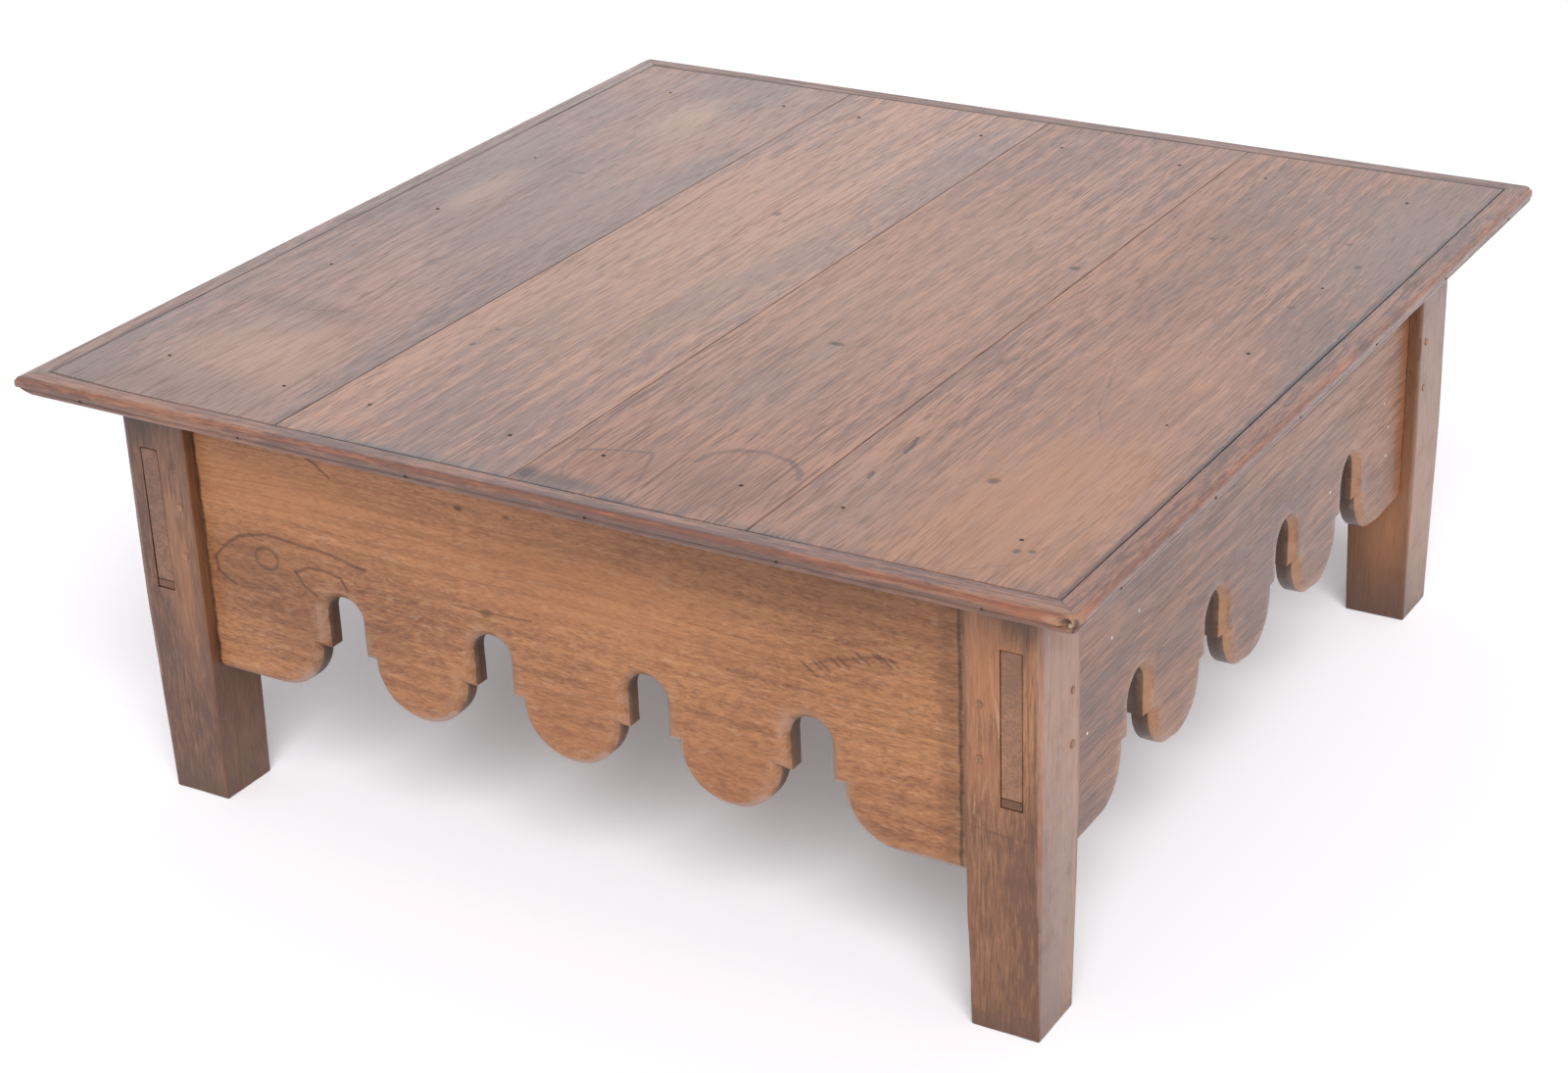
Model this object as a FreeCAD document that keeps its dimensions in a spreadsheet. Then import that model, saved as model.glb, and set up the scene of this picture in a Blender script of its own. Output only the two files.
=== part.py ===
# Low square plank table: scalloped aprons tenoned and pegged into four legs, nailed plank top, mitred edging.
# Millimetres, +Z up, origin on the floor under the middle of the table; the front faces -Y.
import FreeCAD, Part
import math
import operator
import os
import Sketcher

# Driving dimensions, in millimetres.
DIMENSIONS = {
    "table_height": 420,
    "top_width": 1000,
    "top_depth": 1000,
    "top_thickness": 18,
    "plank_one_width": 247,
    "plank_two_width": 231,
    "plank_three_width": 217,
    "seam_gap": 0.4,
    "edging_width": 23,
    "edging_corner_radius": 9,
    "nose_radius": 6,
    "nose_height": 11,
    "quirk_depth": 2.5,
    "quirk_width": 1.2,
    "bead_projection": 2,
    "side_overhang": 58,
    "end_overhang": 64,
    "leg_width": 67,
    "foot_width": 60,
    "leg_taper_height": 190,
    "apron_depth": 270,
    "apron_thickness": 22,
    "apron_recess": 12.5,
    "apron_chamfer": 6.5,
    "notch_width": 38,
    "notch_height": 53,
    "notch_step": 10,
    "lobe_width": 96,
    "lobe_drop": 48,
    "tenon_thickness": 17.5,
    "tenon_drop": 59,
    "tenon_height": 126,
    "tenon_gap": 0.4,
    "mortise_wall": 4,
    "mortise_slack": 1,
    "wedge_height": 8,
    "wedge_length": 40,
    "peg_diameter": 8,
    "peg_setback": 14,
    "peg_drop": 109,
    "peg_spacing": 47,
    "peg_reach": 10,
    "peg_proud": 0.6,
    "peg_gap": 0.1,
    "nail_width": 3.2,
    "nail_length": 45,
    "nail_head_width": 6.5,
    "nail_head_height": 1.6,
    "nail_sink": 0.4,
    "nail_seam_inset": 45,
    "side_nail_spacing": 165,
    "brad_width": 1.8,
    "brad_length": 42,
    "brad_head_width": 3.4,
    "brad_head_height": 1,
    "brad_end_inset": 75,
    "nail_gap": 0.05,
}

SIDE_NAILS_PER_APRON = 3
BRADS_PER_EDGING = 6
PEG_SIDES = 8
PLANK_NAMES = ["top_plank_left", "top_plank_middle_left", "top_plank_middle_right", "top_plank_right"]

# Each corner's sides: x is -1 on the left and 1 on the right, y is -1 at the front and 1 at the back.
CORNERS = {
    "front_left": (-1, -1),
    "front_right": (1, -1),
    "back_left": (-1, 1),
    "back_right": (1, 1),
}

OPERATIONS = {"+": operator.add, "-": operator.sub, "*": operator.mul, "/": operator.truediv}
COINCIDENCE = 0.01
FORMULA_DIGITS = 9

doc = FreeCAD.newDocument("low_table")
sheet = doc.addObject("Spreadsheet::Sheet", "dims")
for row, (alias, number) in enumerate(DIMENSIONS.items(), start=1):
    sheet.set("A%d" % row, alias)
    sheet.set("B%d" % row, str(number))
    sheet.setAlias("B%d" % row, alias)
doc.recompute()


class Size:
    # A length that carries both its number and the formula that gives it from the sheet.
    def __init__(self, number, formula):
        self.number = number
        self.formula = formula

    def combine(self, other, sign, reverse=False):
        if not isinstance(other, Size):
            other = Size(other, repr(float(other)))
        left, right = (other, self) if reverse else (self, other)
        number = OPERATIONS[sign](left.number, right.number)
        return Size(number, "(%s %s %s)" % (left.formula, sign, right.formula))

    def __add__(self, other):
        return self.combine(other, "+")

    def __radd__(self, other):
        return self.combine(other, "+", reverse=True)

    def __sub__(self, other):
        return self.combine(other, "-")

    def __rsub__(self, other):
        return self.combine(other, "-", reverse=True)

    def __mul__(self, other):
        return self.combine(other, "*")

    def __rmul__(self, other):
        return self.combine(other, "*", reverse=True)

    def __truediv__(self, other):
        return self.combine(other, "/")

    def __neg__(self):
        return self.combine(-1, "*")


def size(alias):
    return Size(float(sheet.get(alias)), "dims.%s" % alias)


zero = Size(0.0, "0")

# Heights and half sizes that several pieces share.
table_height = size("table_height")
frame_top = table_height - size("top_thickness")
apron_bottom = frame_top - size("apron_depth")
tenon_top = frame_top - size("tenon_drop")
tenon_bottom = tenon_top - size("tenon_height")
mortise_bottom = tenon_bottom - size("wedge_height")
leg_half = size("leg_width") / 2
top_half_x = size("top_width") / 2
top_half_y = size("top_depth") / 2
frame_half_x = top_half_x - size("side_overhang")
frame_half_y = top_half_y - size("end_overhang")
leg_x = frame_half_x - leg_half
leg_y = frame_half_y - leg_half
field_half_x = top_half_x - size("edging_width")
field_half_y = top_half_y - size("edging_width")

# Distances in from a leg's outer face.
tenon_inner = size("apron_recess") + size("apron_thickness")
tenon_outer = tenon_inner - size("tenon_thickness")
apron_middle = size("apron_recess") + size("apron_thickness") / 2
peg_heights = [frame_top - size("peg_drop"), frame_top - size("peg_drop") - size("peg_spacing")]
peg_length = tenon_inner + size("peg_reach")
stub_length = size("leg_width") - tenon_inner - size("mortise_wall")

# Plank seams, from left to right, and the nails on each side of a seam.
seam_one = size("plank_one_width") - field_half_x
seam_two = seam_one + size("plank_two_width")
seam_three = seam_two + size("plank_three_width")
plank_edges = [-field_half_x, seam_one, seam_two, seam_three, field_half_x]
apron_nail_x = []
for seam in (seam_one, seam_two, seam_three):
    apron_nail_x += [seam - size("nail_seam_inset"), seam + size("nail_seam_inset")]
apron_nail_y = frame_half_y - apron_middle
side_nail_x = frame_half_x - apron_middle
middle_of_side_nails = (SIDE_NAILS_PER_APRON - 1) / 2
side_nail_y = [(i - middle_of_side_nails) * size("side_nail_spacing") for i in range(SIDE_NAILS_PER_APRON)]
top_nail_places = [(x, apron_nail_y * side) for side in (-1, 1) for x in apron_nail_x]
top_nail_places += [(side_nail_x * side, y) for side in (-1, 1) for y in side_nail_y]
top_nail_places += [(leg_x * side_x, leg_y * side_y) for side_x in (-1, 1) for side_y in (-1, 1)]
nail_top = table_height - size("nail_sink")
nail_bottom = nail_top - size("nail_length")
brad_height = frame_top + size("top_thickness") / 2
nail_hole = size("nail_width") + size("nail_gap") * 2
brad_hole = size("brad_width") + size("nail_gap") * 2


def spread_brads(length):
    # Places along an edging, evenly spaced between the insets at its two ends.
    run = length - size("brad_end_inset") * 2
    return [run * (i / (BRADS_PER_EDGING - 1)) - run / 2 for i in range(BRADS_PER_EDGING)]


def holes_in(places, x_low, x_high, y_low, y_high, width):
    # The places whose square hole of that width reaches into a rectangle.
    reach = width.number / 2
    found = []
    for x, y in places:
        across = x_low.number - reach < x.number < x_high.number + reach
        along = y_low.number - reach < y.number < y_high.number + reach
        if across and along:
            found.append((x, y))
    return found


def bind(item, name, length):
    item.setExpression(name, length.formula)


def new_body(label):
    body = doc.addObject("PartDesign::Body", label)
    body.Label = label
    return body


def new_sketch(body, plane, offset, name):
    # A sketch on one of the body's own origin planes, moved along the plane's normal.
    sketch = body.newObject("Sketcher::SketchObject", name)
    support = [item for item in body.Origin.OriginFeatures if item.Role == plane][0]
    sketch.AttachmentSupport = [(support, "")]
    sketch.MapMode = "FlatFace"
    bind(sketch, "AttachmentOffset.Base.z", offset)
    return sketch


def locate(sketch, geometry, point, x, y):
    for kind, length in (("DistanceX", x), ("DistanceY", y)):
        if length is not None:
            index = sketch.addConstraint(Sketcher.Constraint(kind, -1, 1, geometry, point, length.number))
            bind(sketch, "Constraints[%d]" % index, length)


def draw_outline(sketch, points, arcs=None):
    # A closed outline through located points. arcs maps a side's index to the centre of its arc, its
    # direction (1 anticlockwise) and the one centre coordinate, x or y, that the located ends leave open.
    arcs = arcs or {}
    ends = []
    for i, (x, y) in enumerate(points):
        following = points[(i + 1) % len(points)]
        start = FreeCAD.Vector(x.number, y.number, 0)
        finish = FreeCAD.Vector(following[0].number, following[1].number, 0)
        if i not in arcs:
            index = sketch.addGeometry(Part.LineSegment(start, finish), False)
            ends.append((index, 1, 2))
            continue
        (centre_x, centre_y), direction = arcs[i][:2]
        centre = FreeCAD.Vector(centre_x.number, centre_y.number, 0)
        circle = Part.Circle(centre, FreeCAD.Vector(0, 0, 1), (start - centre).Length)
        first, last = (start, finish) if direction > 0 else (finish, start)
        first_angle = math.atan2(first.y - centre.y, first.x - centre.x)
        last_angle = math.atan2(last.y - centre.y, last.x - centre.x)
        if last_angle <= first_angle:
            last_angle += 2 * math.pi
        index = sketch.addGeometry(Part.ArcOfCircle(circle, first_angle, last_angle), False)
        ends.append((index, 1, 2) if direction > 0 else (index, 2, 1))
    for i, (index, first, last) in enumerate(ends):
        next_index, next_first = ends[(i + 1) % len(ends)][:2]
        sketch.addConstraint(Sketcher.Constraint("Coincident", index, last, next_index, next_first))
        locate(sketch, index, first, *points[i])
    for i, ((centre_x, centre_y), direction, open_axis) in arcs.items():
        if open_axis == "x":
            locate(sketch, ends[i][0], 3, centre_x, None)
        else:
            locate(sketch, ends[i][0], 3, None, centre_y)


def draw_rectangle(sketch, x_first, x_last, y_first, y_last):
    draw_outline(sketch, [(x_first, y_first), (x_last, y_first), (x_last, y_last), (x_first, y_last)])


def draw_square(sketch, x, y, width):
    half = width / 2
    draw_rectangle(sketch, x - half, x + half, y - half, y + half)


def draw_bore(sketch, x, y):
    # A bore takes the facets of the peg that is driven into it, with the peg's gap all round.
    radius = size("peg_diameter") / 2 + size("peg_gap")
    points = []
    for i in range(PEG_SIDES):
        angle = 2 * math.pi * i / PEG_SIDES
        across = round(math.cos(angle), FORMULA_DIGITS)
        upwards = round(math.sin(angle), FORMULA_DIGITS)
        points.append((x + radius * across, y + radius * upwards))
    draw_outline(sketch, points)


def add_pad(body, sketch, length, name, reverse=False, symmetric=False):
    pad = body.newObject("PartDesign::Pad", name)
    pad.Profile = sketch
    bind(pad, "Length", length)
    pad.Reversed = reverse
    pad.SideType = "Symmetric" if symmetric else "One side"
    body.Tip = pad
    return pad


def add_pocket(body, sketch, length, name, reverse=False):
    # A pocket of a set depth, or right through both ways where no depth is given.
    doc.recompute()
    before = body.Shape.Volume
    pocket = body.newObject("PartDesign::Pocket", name)
    pocket.Profile = sketch
    if length is None:
        pocket.Type = "ThroughAll"
        pocket.SideType = "Symmetric"
    else:
        bind(pocket, "Length", length)
        pocket.Reversed = reverse
    body.Tip = pocket
    doc.recompute()
    if not body.Shape.Volume < before:
        raise RuntimeError("%s in %s cuts nothing" % (name, body.Label))
    return pocket


def place(item, x, y, z, turn=0):
    item.Placement = FreeCAD.Placement(FreeCAD.Vector(), FreeCAD.Rotation(FreeCAD.Vector(0, 0, 1), turn))
    for axis, length in (("x", x), ("y", y), ("z", z)):
        bind(item, "Placement.Base.%s" % axis, length)


# Legs: the foot tapers up to a square post, with a through mortise, a blind mortise and peg bores.
def make_leg(label, side_x, side_y):
    body = new_body(label)
    foot = new_sketch(body, "XY_Plane", zero, label + "_foot")
    draw_square(foot, zero, zero, size("foot_width"))
    post = new_sketch(body, "XY_Plane", size("leg_taper_height"), label + "_section")
    draw_square(post, zero, zero, size("leg_width"))
    taper = body.newObject("PartDesign::AdditiveLoft", label + "_taper")
    taper.Profile = foot
    taper.Sections = [post]
    taper.Ruled = True
    body.Tip = taper
    doc.recompute()
    add_pad(body, post, frame_top - size("leg_taper_height"), label + "_post")

    cheek_low = leg_half - tenon_inner - size("tenon_gap")
    cheek_high = leg_half - tenon_outer + size("tenon_gap")
    through = new_sketch(body, "XZ_Plane", zero, label + "_through_mortise_outline")
    draw_rectangle(through, cheek_low * side_x, cheek_high * side_x, mortise_bottom, tenon_top)
    add_pocket(body, through, None, label + "_through_mortise")
    blind = new_sketch(body, "YZ_Plane", leg_half * -side_x, label + "_blind_mortise_outline")
    draw_rectangle(blind, cheek_low * side_y, cheek_high * side_y, tenon_bottom, tenon_top)
    blind_depth = stub_length + size("mortise_slack")
    add_pocket(body, blind, blind_depth, label + "_blind_mortise", reverse=side_x > 0)

    peg_row = leg_half - size("peg_setback")
    front_bores = new_sketch(body, "XZ_Plane", leg_half * -side_y, label + "_front_bore_outlines")
    side_bores = new_sketch(body, "YZ_Plane", leg_half * side_x, label + "_side_bore_outlines")
    for height in peg_heights:
        draw_bore(front_bores, peg_row * -side_x, height)
        draw_bore(side_bores, peg_row * -side_y, height)
    add_pocket(body, front_bores, peg_length, label + "_front_bores", reverse=side_y > 0)
    add_pocket(body, side_bores, peg_length, label + "_side_bores", reverse=side_x < 0)

    nail_places = [(x - leg_x * side_x, y - leg_y * side_y) for x, y in top_nail_places]
    nail_holes = new_sketch(body, "XY_Plane", frame_top, label + "_nail_hole_outlines")
    for x, y in holes_in(nail_places, -leg_half, leg_half, -leg_half, leg_half, nail_hole):
        draw_square(nail_holes, x, y, nail_hole)
    add_pocket(body, nail_holes, frame_top - nail_bottom, label + "_nail_holes")
    place(body, leg_x * side_x, leg_y * side_y, zero)
    return body


# Pegs: faceted trenails driven into one leg from its two outer faces.
def make_pegs(label, side_x, side_y):
    pegs = []
    peg_row = leg_half - size("peg_setback")
    for i, height in enumerate(peg_heights):
        front = doc.addObject("Part::Prism", "%s_front_%d" % (label, i))
        side = doc.addObject("Part::Prism", "%s_side_%d" % (label, i))
        for peg in (front, side):
            peg.Polygon = PEG_SIDES
            bind(peg, "Circumradius", size("peg_diameter") / 2)
            bind(peg, "Height", peg_length + size("peg_proud"))
        front.Placement.Rotation = FreeCAD.Rotation(FreeCAD.Vector(0, 0, 1), FreeCAD.Vector(0, -side_y, 0))
        bind(front, "Placement.Base.x", (leg_x - peg_row) * side_x)
        bind(front, "Placement.Base.y", (frame_half_y + size("peg_proud")) * side_y)
        bind(front, "Placement.Base.z", height)
        side.Placement.Rotation = FreeCAD.Rotation(FreeCAD.Vector(0, 0, 1), FreeCAD.Vector(-side_x, 0, 0))
        bind(side, "Placement.Base.x", (frame_half_x + size("peg_proud")) * side_x)
        bind(side, "Placement.Base.y", (leg_y - peg_row) * side_y)
        bind(side, "Placement.Base.z", height)
        pegs += [front, side]
    group = doc.addObject("Part::Compound", label)
    group.Label = label
    group.Links = pegs
    return group


# Wedges: a strip under each through tenon closes the lower end of its mortise.
def make_wedges(label):
    wedges = []
    for i, (side_x, side_y) in enumerate(CORNERS.values()):
        wedge = doc.addObject("Part::Box", "%s_%d" % (label, i))
        bind(wedge, "Length", size("tenon_thickness"))
        bind(wedge, "Width", size("wedge_length"))
        bind(wedge, "Height", size("wedge_height"))
        low_x = frame_half_x - tenon_inner if side_x > 0 else tenon_outer - frame_half_x
        low_y = frame_half_y - size("wedge_length") if side_y > 0 else -frame_half_y
        bind(wedge, "Placement.Base.x", low_x)
        bind(wedge, "Placement.Base.y", low_y)
        bind(wedge, "Placement.Base.z", mortise_bottom)
        wedges.append(wedge)
    group = doc.addObject("Part::Compound", label)
    group.Label = label
    group.Links = wedges
    return group


# Aprons: arched notches, a small step at each side of a notch, and round lobes hanging between them.
# There are as many notches as the span holds, and what is left of it is plain at the two ends.
def apron_outline(span):
    half_notch = size("notch_width") / 2
    half_lobe = size("lobe_width") / 2
    step_height = apron_bottom + size("lobe_drop")
    arch_base = step_height + size("notch_height") - half_notch
    shoulder = half_notch + size("notch_step")
    pitch = (shoulder + half_lobe) * 2
    notches = int((span - size("lobe_drop") * 2).number // pitch.number)
    middle = (notches - 1) / 2
    lobe_radius = (half_lobe * half_lobe / size("lobe_drop") + size("lobe_drop")) / 2
    round_end = pitch * middle + shoulder + size("lobe_drop")
    points = [(-span / 2, apron_bottom), (-round_end, apron_bottom)]
    arcs = {1: ((-round_end, step_height), 1, "x")}
    for i in range(notches):
        centre = pitch * (i - middle)
        for side in (-1, 1):
            notch_side = [
                (centre + shoulder * side, step_height),
                (centre + half_notch * side, step_height),
                (centre + half_notch * side, arch_base),
            ]
            points += notch_side if side < 0 else notch_side[::-1]
            if side < 0:
                arcs[len(points) - 1] = ((centre, arch_base), -1, "y")
        arcs[len(points) - 1] = ((centre + pitch / 2, apron_bottom + lobe_radius), 1, "y")
    arcs[len(points) - 1] = ((round_end, step_height), 1, "x")
    points += [(round_end, apron_bottom), (span / 2, apron_bottom)]
    points += [(span / 2, frame_top), (-span / 2, frame_top)]
    return points, arcs


def scallop_edges(shape, span):
    # Names of the edges on the front face that follow the scalloped lower edge.
    names = []
    for i, edge in enumerate(shape.Edges, start=1):
        box = edge.BoundBox
        on_front = box.YMax < COINCIDENCE
        upright_end = abs(box.XMin) > span.number / 2 - COINCIDENCE and box.XLength < COINCIDENCE
        upper = box.ZMin > frame_top.number - COINCIDENCE
        if on_front and not upright_end and not upper:
            names.append("Edge%d" % i)
    return names


def make_apron(label, span, tenon_length, nail_places):
    body = new_body(label)
    outline = new_sketch(body, "XZ_Plane", zero, label + "_outline")
    points, arcs = apron_outline(span)
    draw_outline(outline, points, arcs)
    board = add_pad(body, outline, size("apron_thickness"), label + "_board", reverse=True)
    doc.recompute()
    chamfer = body.newObject("PartDesign::Chamfer", label + "_chamfer")
    chamfer.Base = (board, scallop_edges(board.Shape, span))
    bind(chamfer, "Size", size("apron_chamfer"))
    body.Tip = chamfer
    doc.recompute()
    for side in (-1, 1):
        end = new_sketch(body, "YZ_Plane", span / 2 * side, "%s_tenon_outline_%d" % (label, side + 1))
        shoulder = size("apron_thickness") - size("tenon_thickness")
        draw_rectangle(end, shoulder, size("apron_thickness"), tenon_bottom, tenon_top)
        add_pad(body, end, tenon_length, "%s_tenon_%d" % (label, side + 1), reverse=side < 0)
    bores = new_sketch(body, "XZ_Plane", zero, label + "_bore_outlines")
    for side in (-1, 1):
        for height in peg_heights:
            draw_bore(bores, (span / 2 + size("peg_setback")) * side, height)
    add_pocket(body, bores, None, label + "_bores")
    nail_holes = new_sketch(body, "XY_Plane", frame_top, label + "_nail_hole_outlines")
    for x, y in holes_in(nail_places, -span / 2, span / 2, zero, size("apron_thickness"), nail_hole):
        draw_square(nail_holes, x, y, nail_hole)
    add_pocket(body, nail_holes, frame_top - nail_bottom, label + "_nail_holes")
    return body


# Top planks: butted boards, nailed down to the aprons and legs.
def make_plank(label, left, right, touches_left, touches_right):
    body = new_body(label)
    half_gap = size("seam_gap") / 2
    left_gap = size("seam_gap") if touches_left else half_gap
    right_gap = size("seam_gap") if touches_right else half_gap
    half_length = field_half_y - size("seam_gap")
    outline = new_sketch(body, "XY_Plane", frame_top, label + "_outline")
    draw_rectangle(outline, left + left_gap, right - right_gap, -half_length, half_length)
    add_pad(body, outline, size("top_thickness"), label + "_board")
    heads = new_sketch(body, "XY_Plane", table_height, label + "_head_holes")
    head_hole = size("nail_head_width") + size("nail_gap") * 2
    for x, y in holes_in(top_nail_places, left, right, -half_length, half_length, head_hole):
        draw_square(heads, x, y, head_hole)
    add_pocket(body, heads, size("nail_sink") + size("nail_head_height"), label + "_head_pockets")
    shanks = new_sketch(body, "XY_Plane", table_height, label + "_shank_holes")
    for x, y in holes_in(top_nail_places, left, right, -half_length, half_length, nail_hole):
        draw_square(shanks, x, y, nail_hole)
    add_pocket(body, shanks, None, label + "_shank_pockets")
    reach = size("brad_length") - size("edging_width")
    end_brads = [(x, brad_height) for x in spread_brads(size("top_width"))]
    end_brads = holes_in(end_brads, left, right, frame_top, table_height, brad_hole)
    for side, end in ((-1, "back"), (1, "front")):
        if end_brads:
            cut = new_sketch(body, "XZ_Plane", half_length * side, "%s_%s_brads" % (label, end))
            for x, z in end_brads:
                draw_square(cut, x, z, brad_hole)
            add_pocket(body, cut, reach, "%s_%s_brad_pockets" % (label, end), reverse=side < 0)
    for touches, edge, towards in ((touches_left, left, 1), (touches_right, right, -1)):
        if touches:
            cut = new_sketch(body, "YZ_Plane", edge, label + "_edge_brads")
            for y in spread_brads(size("top_depth")):
                draw_square(cut, y, brad_height, brad_hole)
            add_pocket(body, cut, reach, label + "_edge_brad_pockets", reverse=towards > 0)
    return body


# Edging: a rounded nose over a quirk and bead, mitred and rounded at the corners, nailed to the planks.
def make_edging(label, length, turn, x, y):
    body = new_body(label)
    width = size("edging_width")
    quirk = size("quirk_depth")
    nose_bottom = table_height - size("nose_height")
    bead_top = nose_bottom - size("quirk_width")
    half_bead = (bead_top - frame_top) / 2
    bead_radius = (half_bead * half_bead / size("bead_projection") + size("bead_projection")) / 2
    points = [
        (width, frame_top),
        (width, table_height),
        (size("nose_radius"), table_height),
        (zero, table_height - size("nose_radius")),
        (zero, nose_bottom),
        (quirk, nose_bottom),
        (quirk, bead_top),
        (quirk, frame_top),
    ]
    arcs = {
        2: ((size("nose_radius"), table_height - size("nose_radius")), 1, "x"),
        6: ((quirk - size("bead_projection") + bead_radius, frame_top + half_bead), 1, "x"),
    }
    section = new_sketch(body, "YZ_Plane", zero, label + "_section")
    draw_outline(section, points, arcs)
    add_pad(body, section, length, label + "_strip", symmetric=True)
    # Plan of the waste beyond each mitre, with the outer corner rounded.
    mitres = new_sketch(body, "XY_Plane", zero, label + "_mitre_outlines")
    radius = size("edging_corner_radius")
    diagonal = radius * (1 - math.sqrt(0.5))
    for side in (-1, 1):
        tip = length / 2
        plan = [
            ((tip - width) * side, width),
            ((tip - diagonal) * side, diagonal),
            ((tip - radius) * side, zero),
            ((tip - radius) * side, -width),
            ((tip + width) * side, -width),
            ((tip + width) * side, width),
        ]
        draw_outline(mitres, plan, {1: (((tip - radius) * side, radius), -side, "x")})
    add_pocket(body, mitres, None, label + "_mitres")
    heads = new_sketch(body, "XZ_Plane", zero, label + "_head_holes")
    shanks = new_sketch(body, "XZ_Plane", zero, label + "_shank_holes")
    for along in spread_brads(length):
        draw_square(heads, along, brad_height, size("brad_head_width") + size("nail_gap") * 2)
        draw_square(shanks, along, brad_height, brad_hole)
    add_pocket(body, heads, size("brad_head_height"), label + "_head_pockets")
    add_pocket(body, shanks, None, label + "_shank_pockets")
    place(body, x, y, zero, turn)
    return body


# Nails: square forged shanks with flat heads, each group cut from two sets of squares.
def extrude_squares(name, places, width, depth, placement):
    sketch = doc.addObject("Sketcher::SketchObject", name + "_outlines")
    for x, y in places:
        draw_square(sketch, x, y, width)
    prism = doc.addObject("Part::Extrusion", name)
    prism.Base = sketch
    prism.DirMode = "Normal"
    prism.Solid = True
    prism.Reversed = True
    bind(prism, "LengthFwd", depth)
    sketch.Placement = placement
    return sketch, prism


def make_top_nails(label):
    parts = []
    for part, width, depth in (
        ("heads", size("nail_head_width"), size("nail_head_height")),
        ("shanks", size("nail_width"), size("nail_length")),
    ):
        sketch, prism = extrude_squares(
            "%s_%s" % (label, part), top_nail_places, width, depth, FreeCAD.Placement())
        bind(sketch, "Placement.Base.z", nail_top)
        parts.append(prism)
    nails = doc.addObject("Part::Fuse", label)
    nails.Label = label
    nails.Base, nails.Tool = parts
    return nails


def make_edging_nails(label):
    groups = []
    sides = (
        ("front", size("top_width"), 0, "y", -top_half_y),
        ("right", size("top_depth"), 90, "x", top_half_x),
        ("back", size("top_width"), 180, "y", top_half_y),
        ("left", size("top_depth"), 270, "x", -top_half_x),
    )
    for side, length, turn, axis, face in sides:
        upright = FreeCAD.Rotation(FreeCAD.Vector(1, 0, 0), 90)
        rotation = FreeCAD.Rotation(FreeCAD.Vector(0, 0, 1), turn).multiply(upright)
        parts = []
        for part, width, depth in (
            ("heads", size("brad_head_width"), size("brad_head_height")),
            ("shanks", size("brad_width"), size("brad_length")),
        ):
            places = [(along, brad_height) for along in spread_brads(length)]
            name = "%s_%s_%s" % (label, side, part)
            placement = FreeCAD.Placement(FreeCAD.Vector(), rotation)
            sketch, prism = extrude_squares(name, places, width, depth, placement)
            bind(sketch, "Placement.Base.%s" % axis, face)
            parts.append(prism)
        nails = doc.addObject("Part::Fuse", "%s_%s" % (label, side))
        nails.Base, nails.Tool = parts
        groups.append(nails)
    group = doc.addObject("Part::Compound", label)
    group.Label = label
    group.Links = groups
    return group


nodes = []
for corner, (side_x, side_y) in CORNERS.items():
    nodes.append(make_leg("leg_" + corner, side_x, side_y))
    nodes.append(make_pegs("pegs_" + corner, side_x, side_y))

# Each apron is drawn along X and turned into place, so the nails' places are turned the other way for it.
span_x = (frame_half_x - size("leg_width")) * 2
span_y = (frame_half_y - size("leg_width")) * 2
face_x = frame_half_x - size("apron_recess")
face_y = frame_half_y - size("apron_recess")
front_nails = [(x, y + face_y) for x, y in top_nail_places]
back_nails = [(-x, face_y - y) for x, y in top_nail_places]
right_nails = [(y, face_x - x) for x, y in top_nail_places]
left_nails = [(-y, face_x + x) for x, y in top_nail_places]
apron_front = make_apron("apron_front", span_x, stub_length, front_nails)
place(apron_front, zero, -face_y, zero)
apron_back = make_apron("apron_back", span_x, stub_length, back_nails)
place(apron_back, zero, face_y, zero, 180)
apron_right = make_apron("apron_right", span_y, size("leg_width"), right_nails)
place(apron_right, face_x, zero, zero, 90)
apron_left = make_apron("apron_left", span_y, size("leg_width"), left_nails)
place(apron_left, -face_x, zero, zero, 270)
nodes += [apron_front, apron_back, apron_right, apron_left, make_wedges("tenon_wedges")]

last_plank = len(PLANK_NAMES) - 1
for i, name in enumerate(PLANK_NAMES):
    nodes.append(make_plank(name, plank_edges[i], plank_edges[i + 1], i == 0, i == last_plank))

nodes.append(make_edging("edging_front", size("top_width"), 0, zero, -top_half_y))
nodes.append(make_edging("edging_back", size("top_width"), 180, zero, top_half_y))
nodes.append(make_edging("edging_right", size("top_depth"), 90, top_half_x, zero))
nodes.append(make_edging("edging_left", size("top_depth"), 270, -top_half_x, zero))
nodes.append(make_top_nails("top_nails"))
nodes.append(make_edging_nails("edging_nails"))

doc.recompute()
for item in doc.Objects:
    if "Invalid" in item.State or "Error" in item.State:
        raise RuntimeError("%s failed: %s" % (item.Label, item.State))
for node in nodes:
    if node.Shape.isNull() or not node.Shape.isValid():
        raise RuntimeError("%s has no valid shape" % node.Label)

os.makedirs("parts", exist_ok=True)
for node in nodes:
    node.Shape.exportStep("parts/%s.step" % node.Label)
    print("%s: %d solids, %.0f mm3" % (node.Label, len(node.Shape.Solids), node.Shape.Volume))
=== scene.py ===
# Low square plank table: worn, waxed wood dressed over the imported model.
import math
import bpy
from mathutils import Matrix, Vector, geometry, noise


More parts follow.
